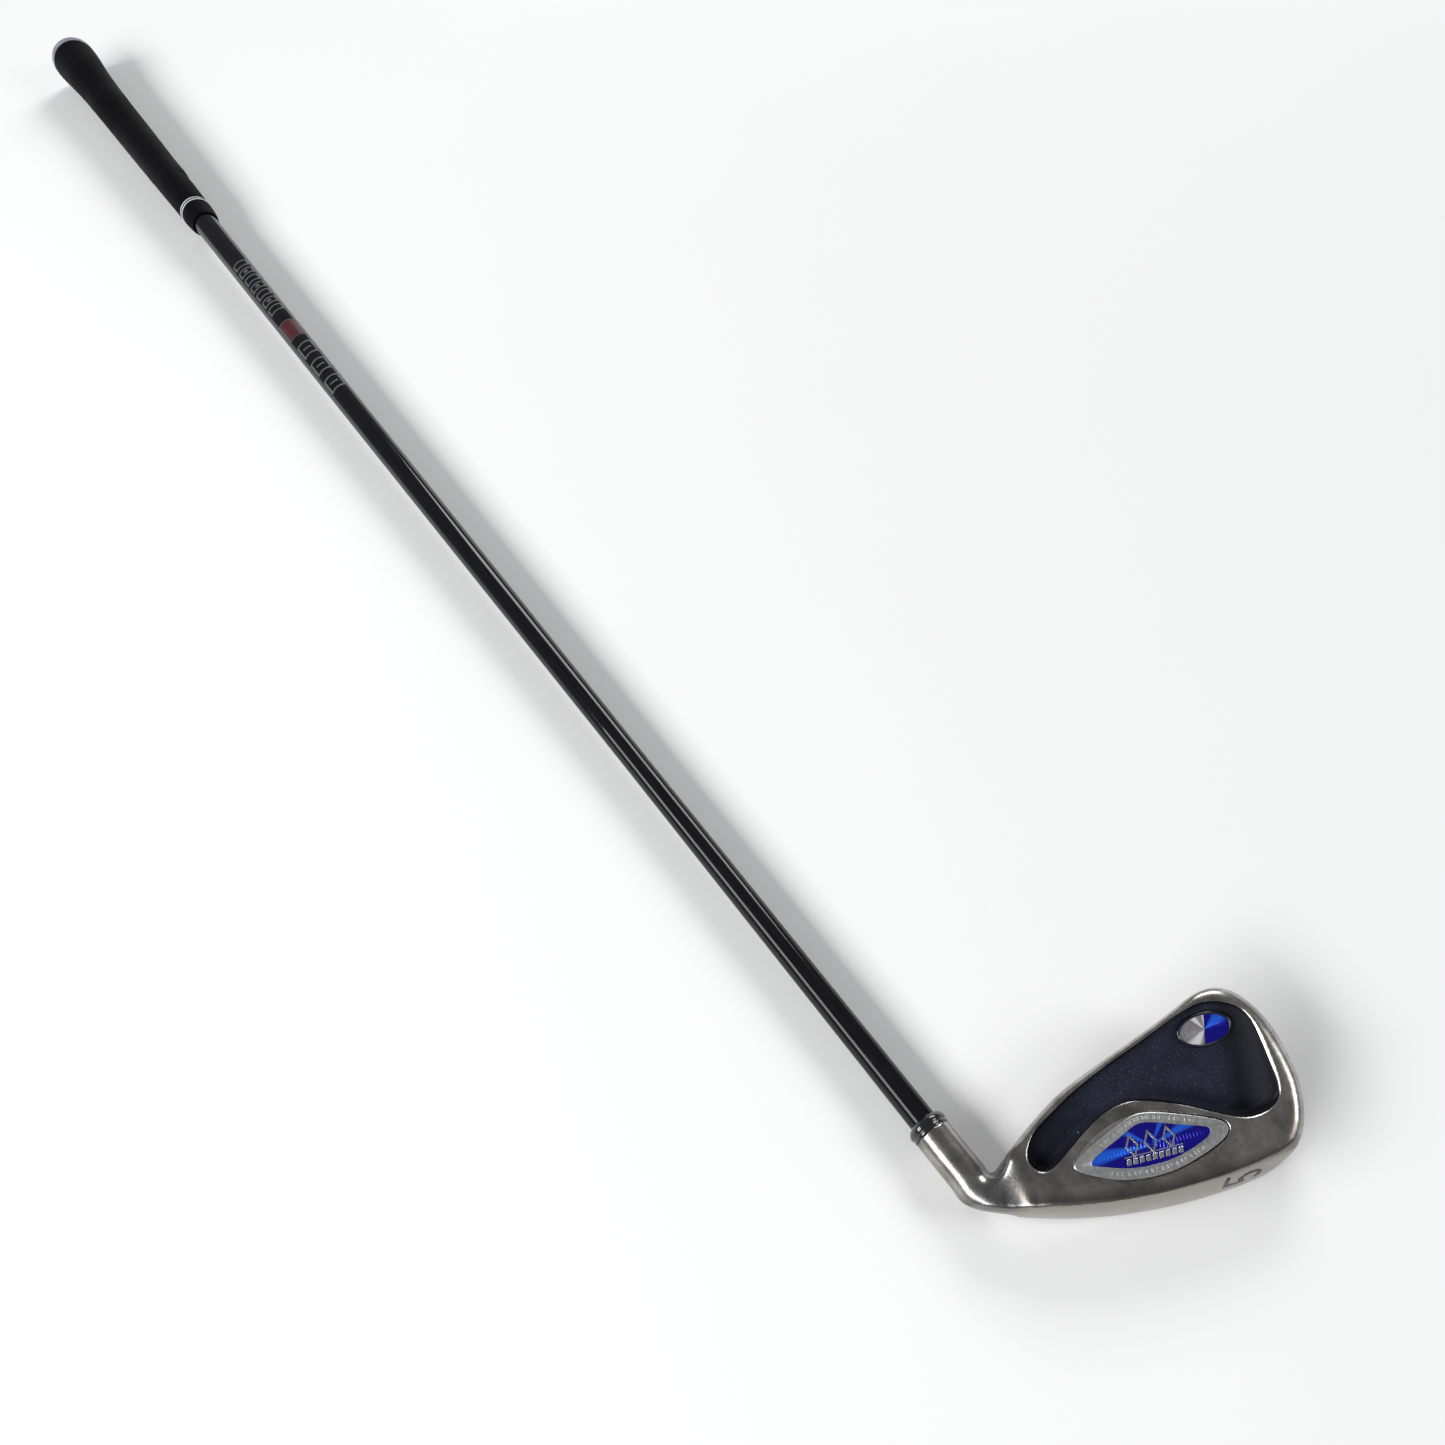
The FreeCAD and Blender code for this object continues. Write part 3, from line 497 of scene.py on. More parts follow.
def head_field(x, y, z):
    """The whole casting: blade, neck and hosel, less every hollow."""
    flat_x, flat_z = x[:, 0, :], z[:, 0, :]
    outline = np.vstack([smooth_line(BLADE_OUTLINE, 12), OUTLINE_FEET])
    edge = outline_field(outline, flat_x, flat_z)[:, None, :]
    rim = outline_field(smooth_line(CAVITY_OUTLINE, 8, True), flat_x, flat_z)[:, None, :]
    blade = blade_field(x, y, z, edge + 0 * y)
    radius = 0.5 + 3.0 * np.clip((-y - 0.5) / 4.0, 0, 1)
    head = joined(blade, neck_field(x, y, z), radius)
    head = common(head, scoop_field(x, -y), SCOOP_EDGE)
    head = common(head, sole_field(x, y, z), SOLE_EDGE)
    head = common(head, -cavity_field(x, y, z, rim + 0 * y), CAVITY_EDGE)
    head = common(head, -medallion_pocket_field(x, y, z), POCKET_EDGE)
    head = np.maximum(head, -engraving_field(x, y, z))
    head = np.maximum(head, -groove_field(x, y, z))
    along = (x * AXIS_IN_BLADE.x + (y + FACE_AHEAD) * AXIS_IN_BLADE.y + z * AXIS_IN_BLADE.z)
    across = x ** 2 + (y + FACE_AHEAD) ** 2 + z ** 2 - along ** 2
    bore = np.maximum(np.sqrt(np.maximum(across, 0)) - BORE_RADIUS, BORE_BOTTOM - along)
    return np.maximum(head, -bore)


def cell_beside(where, axis, steps_back):
    """Cells that touch grid edges along an axis, stepped back over its two other axes."""
    cell = where.copy()
    for other, step in zip([k for k in range(3) if k != axis], steps_back):
        cell[:, other] -= step
    return cell


def surface_of(field, axes):
    """Quads on the zero surface of a sampled field, one point in each cell it crosses."""
    cells = [size - 1 for size in field.shape]
    total, hits = np.zeros(cells + [3]), np.zeros(cells)
    crossed = []
    for axis in range(3):
        near = np.take(field, range(field.shape[axis] - 1), axis)
        far = np.take(field, range(1, field.shape[axis]), axis)
        cut = (near < 0) != (far < 0)
        where = np.argwhere(cut)
        share = (near[cut] / (near[cut] - far[cut]))[:, None]
        start = np.stack([axes[k][where[:, k]] for k in range(3)], 1)
        end = start.copy()
        end[:, axis] = axes[axis][where[:, axis] + 1]
        spots = start + share * (end - start)
        for steps_back in ((0, 0), (0, 1), (1, 0), (1, 1)):
            cell = cell_beside(where, axis, steps_back)
            good = ((cell >= 0) & (cell < np.array(cells))).all(1)
            np.add.at(total, tuple(cell[good].T), spots[good])
            np.add.at(hits, tuple(cell[good].T), 1)
        crossed.append((axis, where, near[cut] < 0))
    used = hits > 0
    number = np.full(cells, -1)
    number[used] = np.arange(used.sum())
    quads = []
    for axis, where, leads_in in crossed:
        quad = np.stack([number[tuple(cell_beside(where, axis, steps_back).T)]
                         for steps_back in ((1, 1), (0, 1), (0, 0), (1, 0))], 1)
        turn = leads_in != (axis == 1)
        quad[~turn] = quad[~turn][:, ::-1]
        quads.append(quad)
    return total[used] / hits[used][:, None], np.vstack(quads)


def build_head(material):
    """The casting, from grid lines that are closest together near the score lines."""
    near_face = [-0.8, -0.5, -0.3, -0.15, 0.25, 0.6]
    axes = [np.arange(-25.5, 100.5, GRID),
            np.concatenate([np.arange(-17.6, -0.9, GRID), near_face, np.arange(1.05, 20.0, GRID)]),
            np.arange(1.6 - 2 * GROOVE_PITCH, 69.0, GRID)]
    field = head_field(*np.meshgrid(*axes, indexing="ij"))
    add_piece("head_casting", surface_of(field, axes), BLADE, material,
              "club_head", 50.0)


# ---------------------------------------------------------------- materials

class Finish:
    """A node material under construction, with short calls for the nodes used here."""

    def __init__(self, name):
        self.material = bpy.data.materials.new(name)
        self.material.use_nodes = True
        self.nodes = self.material.node_tree.nodes
        self.links = self.material.node_tree.links
        self.shader = self.nodes["Principled BSDF"]
        self.place = self.nodes.new("ShaderNodeTexCoord").outputs["Object"]

    def feed(self, socket, value):
        """Links another socket to this one, or gives it a value; colours come without alpha."""
        if isinstance(value, bpy.types.NodeSocket):
            self.links.new(value, socket)
        else:
            socket.default_value = (*value, 1.0) if socket.type == "RGBA" else value

    def node(self, kind, inputs, **settings):
        made = self.nodes.new(kind)
        for key, value in settings.items():
            setattr(made, key, value)
        for key, value in inputs.items():
            self.feed(made.inputs[key], value)
        return made

    def noise(self, scale, detail=3.0, roughness=0.55):
        """Noise over object coordinates in metres, stretched if it has a scale for each axis."""
        place = self.place
        if isinstance(scale, tuple):
            place = self.node("ShaderNodeMapping", {"Vector": place, "Scale": scale}).outputs[0]
            scale = 1.0
        made = self.node("ShaderNodeTexNoise", {"Vector": place, "Scale": scale,
                                                "Detail": detail, "Roughness": roughness})
        return made.outputs["Fac"]

    def specks(self, scale):
        made = self.node("ShaderNodeTexVoronoi", {"Vector": self.place, "Scale": scale})
        return made.outputs["Distance"]

    def spread(self, value, low, high, out_low=0.0, out_high=1.0):
        made = self.node("ShaderNodeMapRange", {"Value": value, "From Min": low, "From Max": high,
                                                "To Min": out_low, "To Max": out_high})
        return made.outputs[0]

    def clouds(self, scale, detail, low, high, out_low=0.0, out_high=1.0):
        """Noise with its contrast raised between two levels."""
        return self.spread(self.noise(scale, detail), low, high, out_low, out_high)

    def across(self, matrix):
        """Distances in metres along the x and y axes of a frame, from its origin."""
        offset = self.node("ShaderNodeVectorMath", {0: self.place, 1: matrix.translation},
                           operation="SUBTRACT").outputs[0]
        return [self.node("ShaderNodeVectorMath", {0: offset, 1: matrix.col[k].xyz.normalized()},
                          operation="DOT_PRODUCT").outputs["Value"] for k in range(2)]

    def wedges(self, matrix, directions):
        """Painted highlight wedges about a frame's origin, from pairs of direction and half width."""
        along, up = self.across(matrix)
        turn = self.math("ARCTAN2", up, along)
        brightest = 0.0
        for direction, half_width in directions:
            apart = self.math("COSINE", self.math("SUBTRACT", turn, math.radians(direction)), 0.0)
            painted_highlight = self.spread(apart, math.cos(math.radians(half_width)),
                                math.cos(math.radians(0.35 * half_width)))
            brightest = self.math("MAXIMUM", painted_highlight, brightest)
        return brightest

    def math(self, operation, first, second):
        return self.node("ShaderNodeMath", {0: first, 1: second}, operation=operation).outputs[0]

    def mixed(self, share, first, second, strength=None):
        """Two colours mixed by a share, which may itself be multiplied by a strength."""
        if strength is not None:
            share = self.math("MULTIPLY", share, strength)
        made = self.node("ShaderNodeMix", {0: share, 6: first, 7: second}, data_type="RGBA")
        return made.outputs[2]

    def bump(self, height, distance_mm, strength=1.0, under=None):
        inputs = {"Height": height, "Distance": distance_mm * MM, "Strength": strength}
        if under is not None:
            inputs["Normal"] = under
        return self.node("ShaderNodeBump", inputs).outputs[0]

    def set(self, **values):
        """Sets shader inputs, named with underscores for spaces."""
        for key, value in values.items():
            self.feed(self.shader.inputs[key.replace("_", " ")], value)
        return self.material


def satin_steel():
    """Worn nickel-grey casting: mottled patches, pits, fine brushing, a darker blue-grey neck, a
    painted dark reflection above the trailing edge and a sole painted lighter as a painted reflection.
    """
    finish = Finish("satin_steel")
    # Mottling: lighter and darker patches over the whole casting.
    mottling = finish.spread(finish.noise(85.0, 5.0, 0.65), 0.38, 0.64)
    patches = finish.clouds(31.0, 3.0, 0.42, 0.62)
    brushed = finish.noise((900.0, 5200.0, 900.0), 2.0, 0.6)
    pits = finish.spread(finish.specks(430.0), 0.16, 0.06)
    colour = finish.mixed(mottling, (0.25, 0.235, 0.215), (0.54, 0.52, 0.49))
    colour = finish.mixed(patches, colour, (0.30, 0.27, 0.255), 0.4)
    toeward, height = finish.across(ADDRESS)
    rocker = finish.math("POWER", finish.math("SUBTRACT", toeward, SOLE_LOW_POINT[0] * MM), 2.0)
    rise = finish.math("DIVIDE", rocker, 2 * SOLE_ROCKER_RADIUS * MM)
    above = finish.math("SUBTRACT", height, rise)
    # Painted dark reflection: colour darkened from 5 mm above the bottom of the sole downward, just
    # above the trailing edge.
    band = finish.spread(above, 0.0050, 0.0020)
    colour = finish.mixed(band, colour, (0.13, 0.12, 0.11), 0.75)
    # Painted reflection: the lowest 1 to 1.7 mm, the sole, is painted lighter to stand in for the pale
    # floor it reflects.
    colour = finish.mixed(finish.spread(above, 0.0017, 0.0010), colour, (0.34, 0.325, 0.295))
    # Darker blue-grey tint over the neck, from about 11 mm heel-ward to 7 mm toe-ward of the ground
    # point.
    heel = finish.math("MULTIPLY", finish.spread(toeward, 0.0070, 0.0010),
                       finish.spread(toeward, -0.0110, -0.0060))
    colour = finish.mixed(heel, colour, (0.12, 0.13, 0.15), 0.5)
    colour = finish.mixed(pits, colour, (0.16, 0.15, 0.14), mottling)
    dull = finish.clouds(60.0, 4.0, 0.3, 0.7, 0.20, 0.32)
    rough = finish.math("ADD", dull, finish.spread(brushed, 0.3, 0.7, -0.04, 0.05))
    normal = finish.bump(brushed, 0.012, 0.5)
    normal = finish.bump(finish.noise(4200.0, 2.0), 0.010, 0.5, normal)
    return finish.set(Base_Color=colour, Metallic=1.0, Roughness=rough, Normal=normal)


def coat_black():
    """Matte black cavity coat with a speckled, slightly blue sparkle and a few chips; painted shade
    makes it near black toward the heel end and up the toe ramp.
    """
    finish = Finish("textured_black")
    sparkle = finish.spread(finish.noise(2600.0, 2.0, 0.7), 0.55, 0.75)
    cloud = finish.clouds(120.0, 3.0, 0.35, 0.7)
    chips = finish.spread(finish.specks(210.0), 0.10, 0.06)
    colour = finish.mixed(cloud, (0.010, 0.012, 0.024), (0.018, 0.021, 0.040))
    colour = finish.mixed(sparkle, colour, (0.06, 0.07, 0.11), 0.6)
    glint = finish.spread(finish.noise(1700.0, 1.0, 0.5), 0.66, 0.72)
    colour = finish.mixed(glint, colour, (0.08, 0.13, 0.11), 0.5)
    toeward = finish.across(BLADE @ Matrix.Translation((25.0, 0, 33.0)))[0]
    near_chips = finish.spread(finish.math("ABSOLUTE", toeward, 0.0), 0.0075, 0.0045)
    colour = finish.mixed(chips, colour, (0.42, 0.42, 0.38), near_chips)
    toeward = finish.across(BLADE)[0]
    # Painted shade: near black toward the toe ramp and the heel end of the cavity, where shade falls.
    ends = finish.math("MAXIMUM", finish.spread(toeward, 0.0745, 0.080),
                       finish.spread(toeward, 0.034, 0.016))
    colour = finish.mixed(ends, colour, (0.003, 0.003, 0.005), 0.72)
    rough = finish.spread(sparkle, 0.0, 1.0, 0.62, 0.42)
    normal = finish.bump(finish.noise(1500.0, 3.0, 0.7), 0.06, 0.7)
    return finish.set(Base_Color=colour, Roughness=rough, Normal=normal, Specular_IOR_Level=0.16)


def metal(name, light, dark, low_rough, high_rough):
    """Satin or bright metal with faint clouding and a fine grain."""
    finish = Finish(name)
    cloud = finish.clouds(420.0, 4.0, 0.3, 0.7)
    colour = finish.mixed(cloud, light, dark)
    rough = finish.clouds(900.0, 3.0, 0.3, 0.7, low_rough, high_rough)
    normal = finish.bump(finish.noise(5200.0, 2.0), 0.008, 0.6)
    return finish.set(Base_Color=colour, Metallic=1.0, Roughness=rough, Normal=normal)


def spun(name, place, directions, scale, dark, light, painted_highlight, low_rough, **settings):
    """Metal spun about its middle, bare or lacquered, with painted highlight wedges mixed into its
    colour.
    """
    finish = Finish(name)
    colour = finish.mixed(finish.clouds(scale, 3.0, 0.3, 0.7), dark, light)
    # Painted highlight: bright wedges mixed into the colour.
    colour = finish.mixed(finish.wedges(place, directions), colour, painted_highlight)
    rough = finish.clouds(1800.0, 2.0, 0.3, 0.7, low_rough, low_rough + 0.10)
    return finish.set(Base_Color=colour, Roughness=rough, **settings)


def blue_lacquer(name, place, directions):
    """Translucent blue lacquer over spun metal, with painted highlight wedges."""
    return spun(name, place, directions, 700.0, (0.003, 0.001, 0.26), (0.006, 0.004, 0.38),
                (0.02, 0.16, 1.0), 0.16, Metallic=0.6, Coat_Weight=0.3, Coat_Roughness=0.08)


def painted(name, colour, other, rough, coat=0.0, scale=800.0, bump_mm=0.006):
    """Paint, plastic or print: slight colour drift, uneven gloss and a fine surface."""
    finish = Finish(name)
    tint = finish.mixed(finish.clouds(scale, 3.0, 0.3, 0.7), colour, other)
    gloss = finish.clouds(scale * 0.3, 4.0, 0.3, 0.7, rough * 0.85, rough * 1.2)
    normal = finish.bump(finish.noise(scale * 4.0, 2.0), bump_mm, 0.5)
    return finish.set(Base_Color=tint, Roughness=gloss, Normal=normal, Coat_Weight=coat,
                      Coat_Roughness=0.05)


def shaft_black():
    """Deep black lacquer over wrapped carbon fibre, with faint polishing marks."""
    finish = Finish("gloss_black_graphite")
    wrap = finish.noise((60.0, 1400.0, 1400.0), 2.0, 0.5)
    colour = finish.mixed(finish.spread(wrap, 0.35, 0.65), (0.0035, 0.0035, 0.004),
                          (0.008, 0.008, 0.009))
    smudges = finish.clouds(70.0, 4.0, 0.4, 0.7, 0.10, 0.20)
    normal = finish.bump(wrap, 0.004, 0.4)
    return finish.set(Base_Color=colour, Roughness=smudges, Normal=normal, Coat_Weight=0.4,
                      Coat_Roughness=0.03, Specular_IOR_Level=0.06)


def grip_black():
    """Near-black rubber with a fine pebbled skin and slightly polished patches."""
    finish = Finish("grip_rubber")
    worn = finish.clouds(28.0, 3.0, 0.42, 0.66)
    colour = finish.mixed(worn, (0.0018, 0.0018, 0.0025), (0.004, 0.004, 0.005))
    rough = finish.spread(worn, 0.0, 1.0, 0.72, 0.56)
    normal = finish.bump(finish.specks(1400.0), 0.05, 0.5)
    return finish.set(Base_Color=colour, Roughness=rough, Normal=normal, Specular_IOR_Level=0.07)


def woven_tape():
    """Pale crepe tape with fine cross wrinkles."""
    finish = Finish("grip_tape")
    wrinkle = finish.noise((2600.0, 300.0, 300.0), 3.0, 0.6)
    colour = finish.mixed(finish.spread(wrinkle, 0.3, 0.7), (0.72, 0.69, 0.58), (0.80, 0.78, 0.70))
    return finish.set(Base_Color=colour, Roughness=0.85, Normal=finish.bump(wrinkle, 0.05, 0.7))


# ---------------------------------------------------------------- cavity coat

# How far below the back the coat ends, on the toe ramp and on the walls
RAMP_END_GAP = 0.9
WALL_END_GAP = 0.8


def back_depth(x, z):
    """Depth of the back surface, as the lower of its two planes."""
    return np.minimum(lower_back_depth(z), upper_back_depth(x, z))


def ramp_depth(x):
    past = np.clip(x - TOE_RAMP_START, 0, TOE_RAMP_RADIUS)
    return FACE_THICKNESS + TOE_RAMP_RADIUS - np.sqrt(TOE_RAMP_RADIUS ** 2 - past ** 2)


def inward_normals(outline):
    along = np.roll(outline, -1, axis=0) - np.roll(outline, 1, axis=0)
    across = unit_rows(np.stack([-along[:, 1], along[:, 0]], 1))
    area = np.cross(outline, np.roll(outline, -1, axis=0)).sum()
    return across * np.sign(area)


def coat_border():
    """Cavity outline, drawn in where the toe ramp climbs out through the back."""
    outline = smooth_line(CAVITY_OUTLINE, 10, True)
    inward = inward_normals(outline)
    shift = np.zeros(len(outline))
    for step in np.arange(0.0, 4.0, 0.05):
        spot = outline + inward * shift[:, None]
        proud = ramp_depth(spot[:, 0]) > back_depth(spot[:, 0], spot[:, 1]) - RAMP_END_GAP
        shift[proud] = step
    for _ in range(6):
        shift = (np.roll(shift, 1) + 2 * shift + np.roll(shift, -1)) / 4
    return outline + inward * shift[:, None]


def build_coat(material):
    """Paint film up the cavity wall, round its foot and across the floor and toe ramp."""
    border = coat_border()
    inward = inward_normals(border)
    film, foot, steps = 0.12, 1.6, 6
    count = len(border)
    points = []
    wall_top = back_depth(border[:, 0], border[:, 1]) - WALL_END_GAP
    lowest = ramp_depth(border[:, 0]) + film
    for share in (0.0, 0.5, 1.0):
        height = lowest + foot
        depth = np.maximum(wall_top * (1 - share) + height * share, lowest)
        depth = np.minimum(depth, np.maximum(wall_top, lowest))
        points += [(x, -d, z) for (x, z), d in zip(border + inward * film, depth)]
    for step in range(1, steps + 1):
        angle = math.pi / 2 * step / steps
        spot = border + inward * (film + foot * (1 - math.cos(angle)))
        rise = ramp_depth(spot[:, 0]) + film + foot * (1 - math.sin(angle))
        rise = np.minimum(rise, np.maximum(wall_top, lowest))
        points += [(x, -d, z) for (x, z), d in zip(spot, rise)]
    base = len(points) - count
    faces = ring_bridge(len(points) // count, count, False)
    edge = [Vector(pair) for pair in spot]
    pitch = 1.1
    grid_x, grid_z = np.meshgrid(np.arange(0, 100, pitch), np.arange(0, 70, pitch))
    inside = outline_field(spot, grid_x, grid_z) < -0.5 * pitch
    filling = [Vector(pair) for pair in zip(grid_x[inside], grid_z[inside])]
    loop = [(k, (k + 1) % count) for k in range(count)]
    flat, _, cells, _, _, _ = delaunay_2d_cdt(edge + filling, loop, [], 1, 1e-4)
    points = points[:base] + [(p.x, -float(ramp_depth(p.x)) - film, p.y) for p in flat]
    faces += [tuple(base + k for k in cell) for cell in cells]
    add_piece("cavity_coat", (points, faces), BLADE, material,
              "cavity_coating", 60.0)


# ---------------------------------------------------------------- medallion and badge

# Fall to the rim, pitch and swell of the ridges on the badge
BADGE_RIDGES = (0.12, 0.62, 0.036)


def oval_outline(half_length, half_height):
    turns = np.arange(96) * math.tau / 96
    return np.stack([half_length * np.cos(turns), half_height * np.sin(turns)], 1)


def stacked(rings):
    """Closed solid through rings of equal count: first and last are capped."""
    count = len(rings[0][0])
    points = [(x, y, height) for outline, height in rings for x, y in outline]
    last = range(len(points) - count, len(points))
    return points, ring_bridge(len(rings), count, False) + [range(count)[::-1], last]


def merged(solids):
    """Points and faces of several solids as one list."""
    points, faces = [], []
    for more_points, more_faces in solids:
        base = len(points)
        points += more_points
        faces += [tuple(base + k for k in face) for face in more_faces]
    return points, faces


def bevelled(outline, low, high, bevel):
    """Plate with a bevelled upper edge."""
    inward = inward_normals(outline)
    return stacked([(outline, low), (outline, high - bevel),
                    (outline + inward * 0.4 * bevel, high - 0.3 * bevel),
                    (outline + inward * bevel, high)])


def build_medallion_plate(material):
    """Bordered plate with a recess for the inlay and a line of raised ticks round the border."""
    outer, inner = smooth_line(PLATE_OUTLINE, 6, True), smooth_line(INLAY_OUTLINE, 6, True)
    outward, inward = -inward_normals(inner), inward_normals(outer)
    plate = stacked([(outer, -1.68), (outer, -0.22), (outer + inward * 0.08, -0.02),
                     (outer + inward * 0.26, 0.1), (inner + outward * 0.26, 0.1),
                     (inner + outward * 0.08, 0.02), (inner, -0.12), (inner, -0.45)])
    solids = [plate]
    border = (outer + inner) / 2
    tangent = unit_rows(np.roll(border, -1, axis=0) - np.roll(border, 1, axis=0))
    for step in range(14, len(border) - 6, 2):
        if abs(border[step, 0]) > 15.5:
            continue
        along, across = tangent[step], np.array([-tangent[step, 1], tangent[step, 0]])
        half = 0.26 if step % 3 else 0.42
        corners = np.array([border[step] + along * (half * i) + across * (0.55 * j)
                            for i, j in ((-1, -1), (1, -1), (1, 1), (-1, 1))])
        solids.append(bevelled(corners, 0.05, 0.17, 0.05))
    add_piece("medallion_plate", merged(solids), BLADE @ MEDALLION, material,
              "sole_medallion_plate", 30.0)


def ridge_height(reach, share, centre_height, fall, pitch, swell):
    """Height of a top with fine circular ridges, at a share of the way to its rim."""
    wave = swell * np.sin(math.tau * reach * share / pitch)
    return centre_height - fall * share + wave * (1 - share ** 12)


def ridged(outline, centre_height, fall, pitch, swell, low, rings):
    """Plate whose top carries fine circular ridges about its middle, and falls to its rim."""
    count = len(outline)
    reach = np.linalg.norm(outline, axis=1)
    points = [(0.0, 0.0, centre_height)]
    for ring in range(1, rings + 1):
        share = ring / rings
        height = ridge_height(reach, share, centre_height, fall, pitch, swell)
        points += [(x * share, y * share, h) for (x, y), h in zip(outline, height)]
    faces = [(0, 1 + k, 1 + (k + 1) % count) for k in range(count)]
    faces += [tuple(1 + k for k in face) for face in ring_bridge(rings, count, False)]
    base = len(points)
    points += [(x, y, low) for x, y in outline]
    rim = base - count
    faces += [(rim + k, base + k, base + (k + 1) % count, rim + (k + 1) % count)
              for k in range(count)]
    faces.append(tuple(base + k for k in range(count))[::-1])
    return points, faces


def build_inlay(material):
    """Blue inlay with fine circular ridges; its bright wedges are painted highlights in its material.
    """
    outline = smooth_line(INLAY_OUTLINE, 7, True) * 0.999
    add_piece("medallion_inlay", ridged(outline, -0.18, 0.0, 1.1, 0.07, -0.45, 88),
              BLADE @ MEDALLION, material, "sole_medallion_inlay", 60.0)


def frame_strokes(outer, inner):
    """The four strokes of a four-cornered frame, as outlines."""
    return [(outer[k], outer[(k + 1) % 4], inner[(k + 1) % 4], inner[k]) for k in range(4)]


def build_emblem(material):
    """Three outlined lozenges over a thin line and a row of plain slanted marks."""
    solids = []
    for middle in (-6.0, 0.0, 6.0):
        for stroke in frame_strokes([(0, -2.6), (2.2, 1.0), (0, 4.6), (-2.2, 1.0)],
                                    [(0, -1.5), (1.5, 1.0), (0, 3.5), (-1.5, 1.0)]):
            solids.append(bevelled(np.array(stroke) + (middle, 0.2), -0.3, 0.13, 0.06))
    line = np.array([(-9.5, -2.0), (9.5, -2.0), (9.5, -1.65), (-9.5, -1.65)])
    solids.append(bevelled(line, -0.3, 0.10, 0.05))
    for step in range(9):
        left = -9.3 + 2.1 * step
        mark = np.array([(left, -4.2), (left + 1.45, -4.2), (left + 1.8, -2.45),
                         (left + 0.35, -2.45)])
        solids.append(bevelled(mark, -0.3, 0.13, 0.06))
    add_piece("medallion_emblem", merged(solids), BLADE @ MEDALLION, material,
              "sole_medallion_emblem", 25.0)


def build_badge(dark, silver, blue):
    """Dark oval bezel round a ridged silver disc, with its toe half lacquered blue."""
    outer, inner = oval_outline(9.2, 5.5), oval_outline(8.22, 4.52)
    outward, inward = -inward_normals(inner), inward_normals(outer)
    rings = [(outer, -0.68), (outer, 1.05), (outer + inward * 0.10, 1.38),
             (outer + inward * 0.32, 1.62), (outer + inward * 0.52, 1.7),
             (inner + outward * 0.14, 1.6), (inner, 1.42), (inner, -0.68)]
    points = [(x, y, height) for outline, height in rings for x, y in outline]
    add_piece("badge_bezel", (points, ring_bridge(len(rings), len(outer), True)),
              BLADE @ BADGE, dark, "toe_badge_bezel", 45.0)
    disc = ridged(oval_outline(8.18, 4.48), 1.32, *BADGE_RIDGES, -0.68, 64)
    add_piece("badge_disc", disc, BLADE @ BADGE, silver, "toe_badge_disc", 60.0)
    add_piece("badge_lacquer", half_ridged(8.16, 4.46, 1.34, 0.06, 56), BLADE @ BADGE, blue,
              "toe_badge_lacquer", 60.0)


def half_ridged(half_length, half_height, centre_height, thickness, rings):
    """Film over the upright toe half of a ridged oval, closed along its rim and its middle."""
    half_turns = np.linspace(-math.pi / 2, math.pi / 2, 61) - BADGE_TILT
    edge = np.stack([half_length * np.cos(half_turns), half_height * np.sin(half_turns)], 1)
    points, faces = [], []
    count = len(edge)
    reach = np.linalg.norm(edge, axis=1)
    for lift in (thickness, 0.0):
        for ring in range(rings + 1):
            share = max(ring / rings, 0.002)
            height = ridge_height(reach, share, centre_height, *BADGE_RIDGES) + lift
            points += [(x * share, y * share, h) for (x, y), h in zip(edge, height)]
    size = (rings + 1) * count
    grid = np.arange(size).reshape(rings + 1, count)
    for a, b in zip(grid[:-1, :-1].flat, grid[1:, :-1].flat):
        faces += [(a, b, b + 1, a + 1), (size + a, size + a + 1, size + b + 1, size + b)]
    for side in (grid[::-1, 0], grid[:, -1], grid[-1, ::-1]):
        faces += [(here, after, size + after, size + here) for here, after in zip(side, side[1:])]
    return points, faces


# ---------------------------------------------------------------- shaft and ferrule

TIP_RADIUS = 4.7
TIP_PARALLEL_END = 220.0
SHAFT_TIP = 16.3
SHAFT_BUTT = 943.0
BUTT_RADIUS = 7.65
WALL_AT_BUTT = 1.1
WALL_GAIN = 1.0
BACKWARD = -math.pi / 2
PRINT_LIFT = 0.09
RED_LIFT = 0.08
LETTERING_LOW = 583.0
LETTERING_PITCH = 8.3
LETTERING_COUNT = 7
FRAME_LOWS = (504.0, 521.0, 538.0)
RED_LOW = 558.0
RED_TOP = 572.0


def shaft_radius(up):
    """Outer radius of the shaft at a height along its axis."""
    share = max(0.0, (up - TIP_PARALLEL_END) / (SHAFT_BUTT - TIP_PARALLEL_END))
    return TIP_RADIUS + share * (BUTT_RADIUS - TIP_RADIUS)


def build_shaft(material):
    """Tapered tube with its wall, shown as one gloss black surface."""
    stations = np.concatenate([np.linspace(SHAFT_TIP, TIP_PARALLEL_END, 24),
                               np.linspace(TIP_PARALLEL_END, SHAFT_BUTT, 64)[1:]])
    outside = [(up, shaft_radius(up)) for up in stations]
    inside = [(up, radius - WALL_AT_BUTT - WALL_GAIN * (SHAFT_BUTT - up) / SHAFT_BUTT)
              for up, radius in outside[::-4]]
    add_piece("shaft_tube", turned(outside + inside, 128), SHAFT, material,
              "shaft", 50.0)


def build_ferrule(material):
    """Turned trim with a small bead over the hosel and a wider rounded lip above it."""
    corners = [(37.0, 6.40), (37.35, 6.60), (37.8, 6.66), (38.15, 6.56), (38.4, 6.50),
               (38.7, 6.68), (39.2, 6.92), (39.8, 6.94), (40.5, 6.72), (41.2, 6.18),
               (41.75, 5.5), (42.0, 4.95), (42.0, 4.73), (37.0, 4.73)]
    skin = [tuple(point) for point in smooth_line(corners[:12], 4)] + corners[12:]
    add_piece("ferrule_trim", turned(skin, 128), SHAFT, material,
              "ferrule", 50.0)


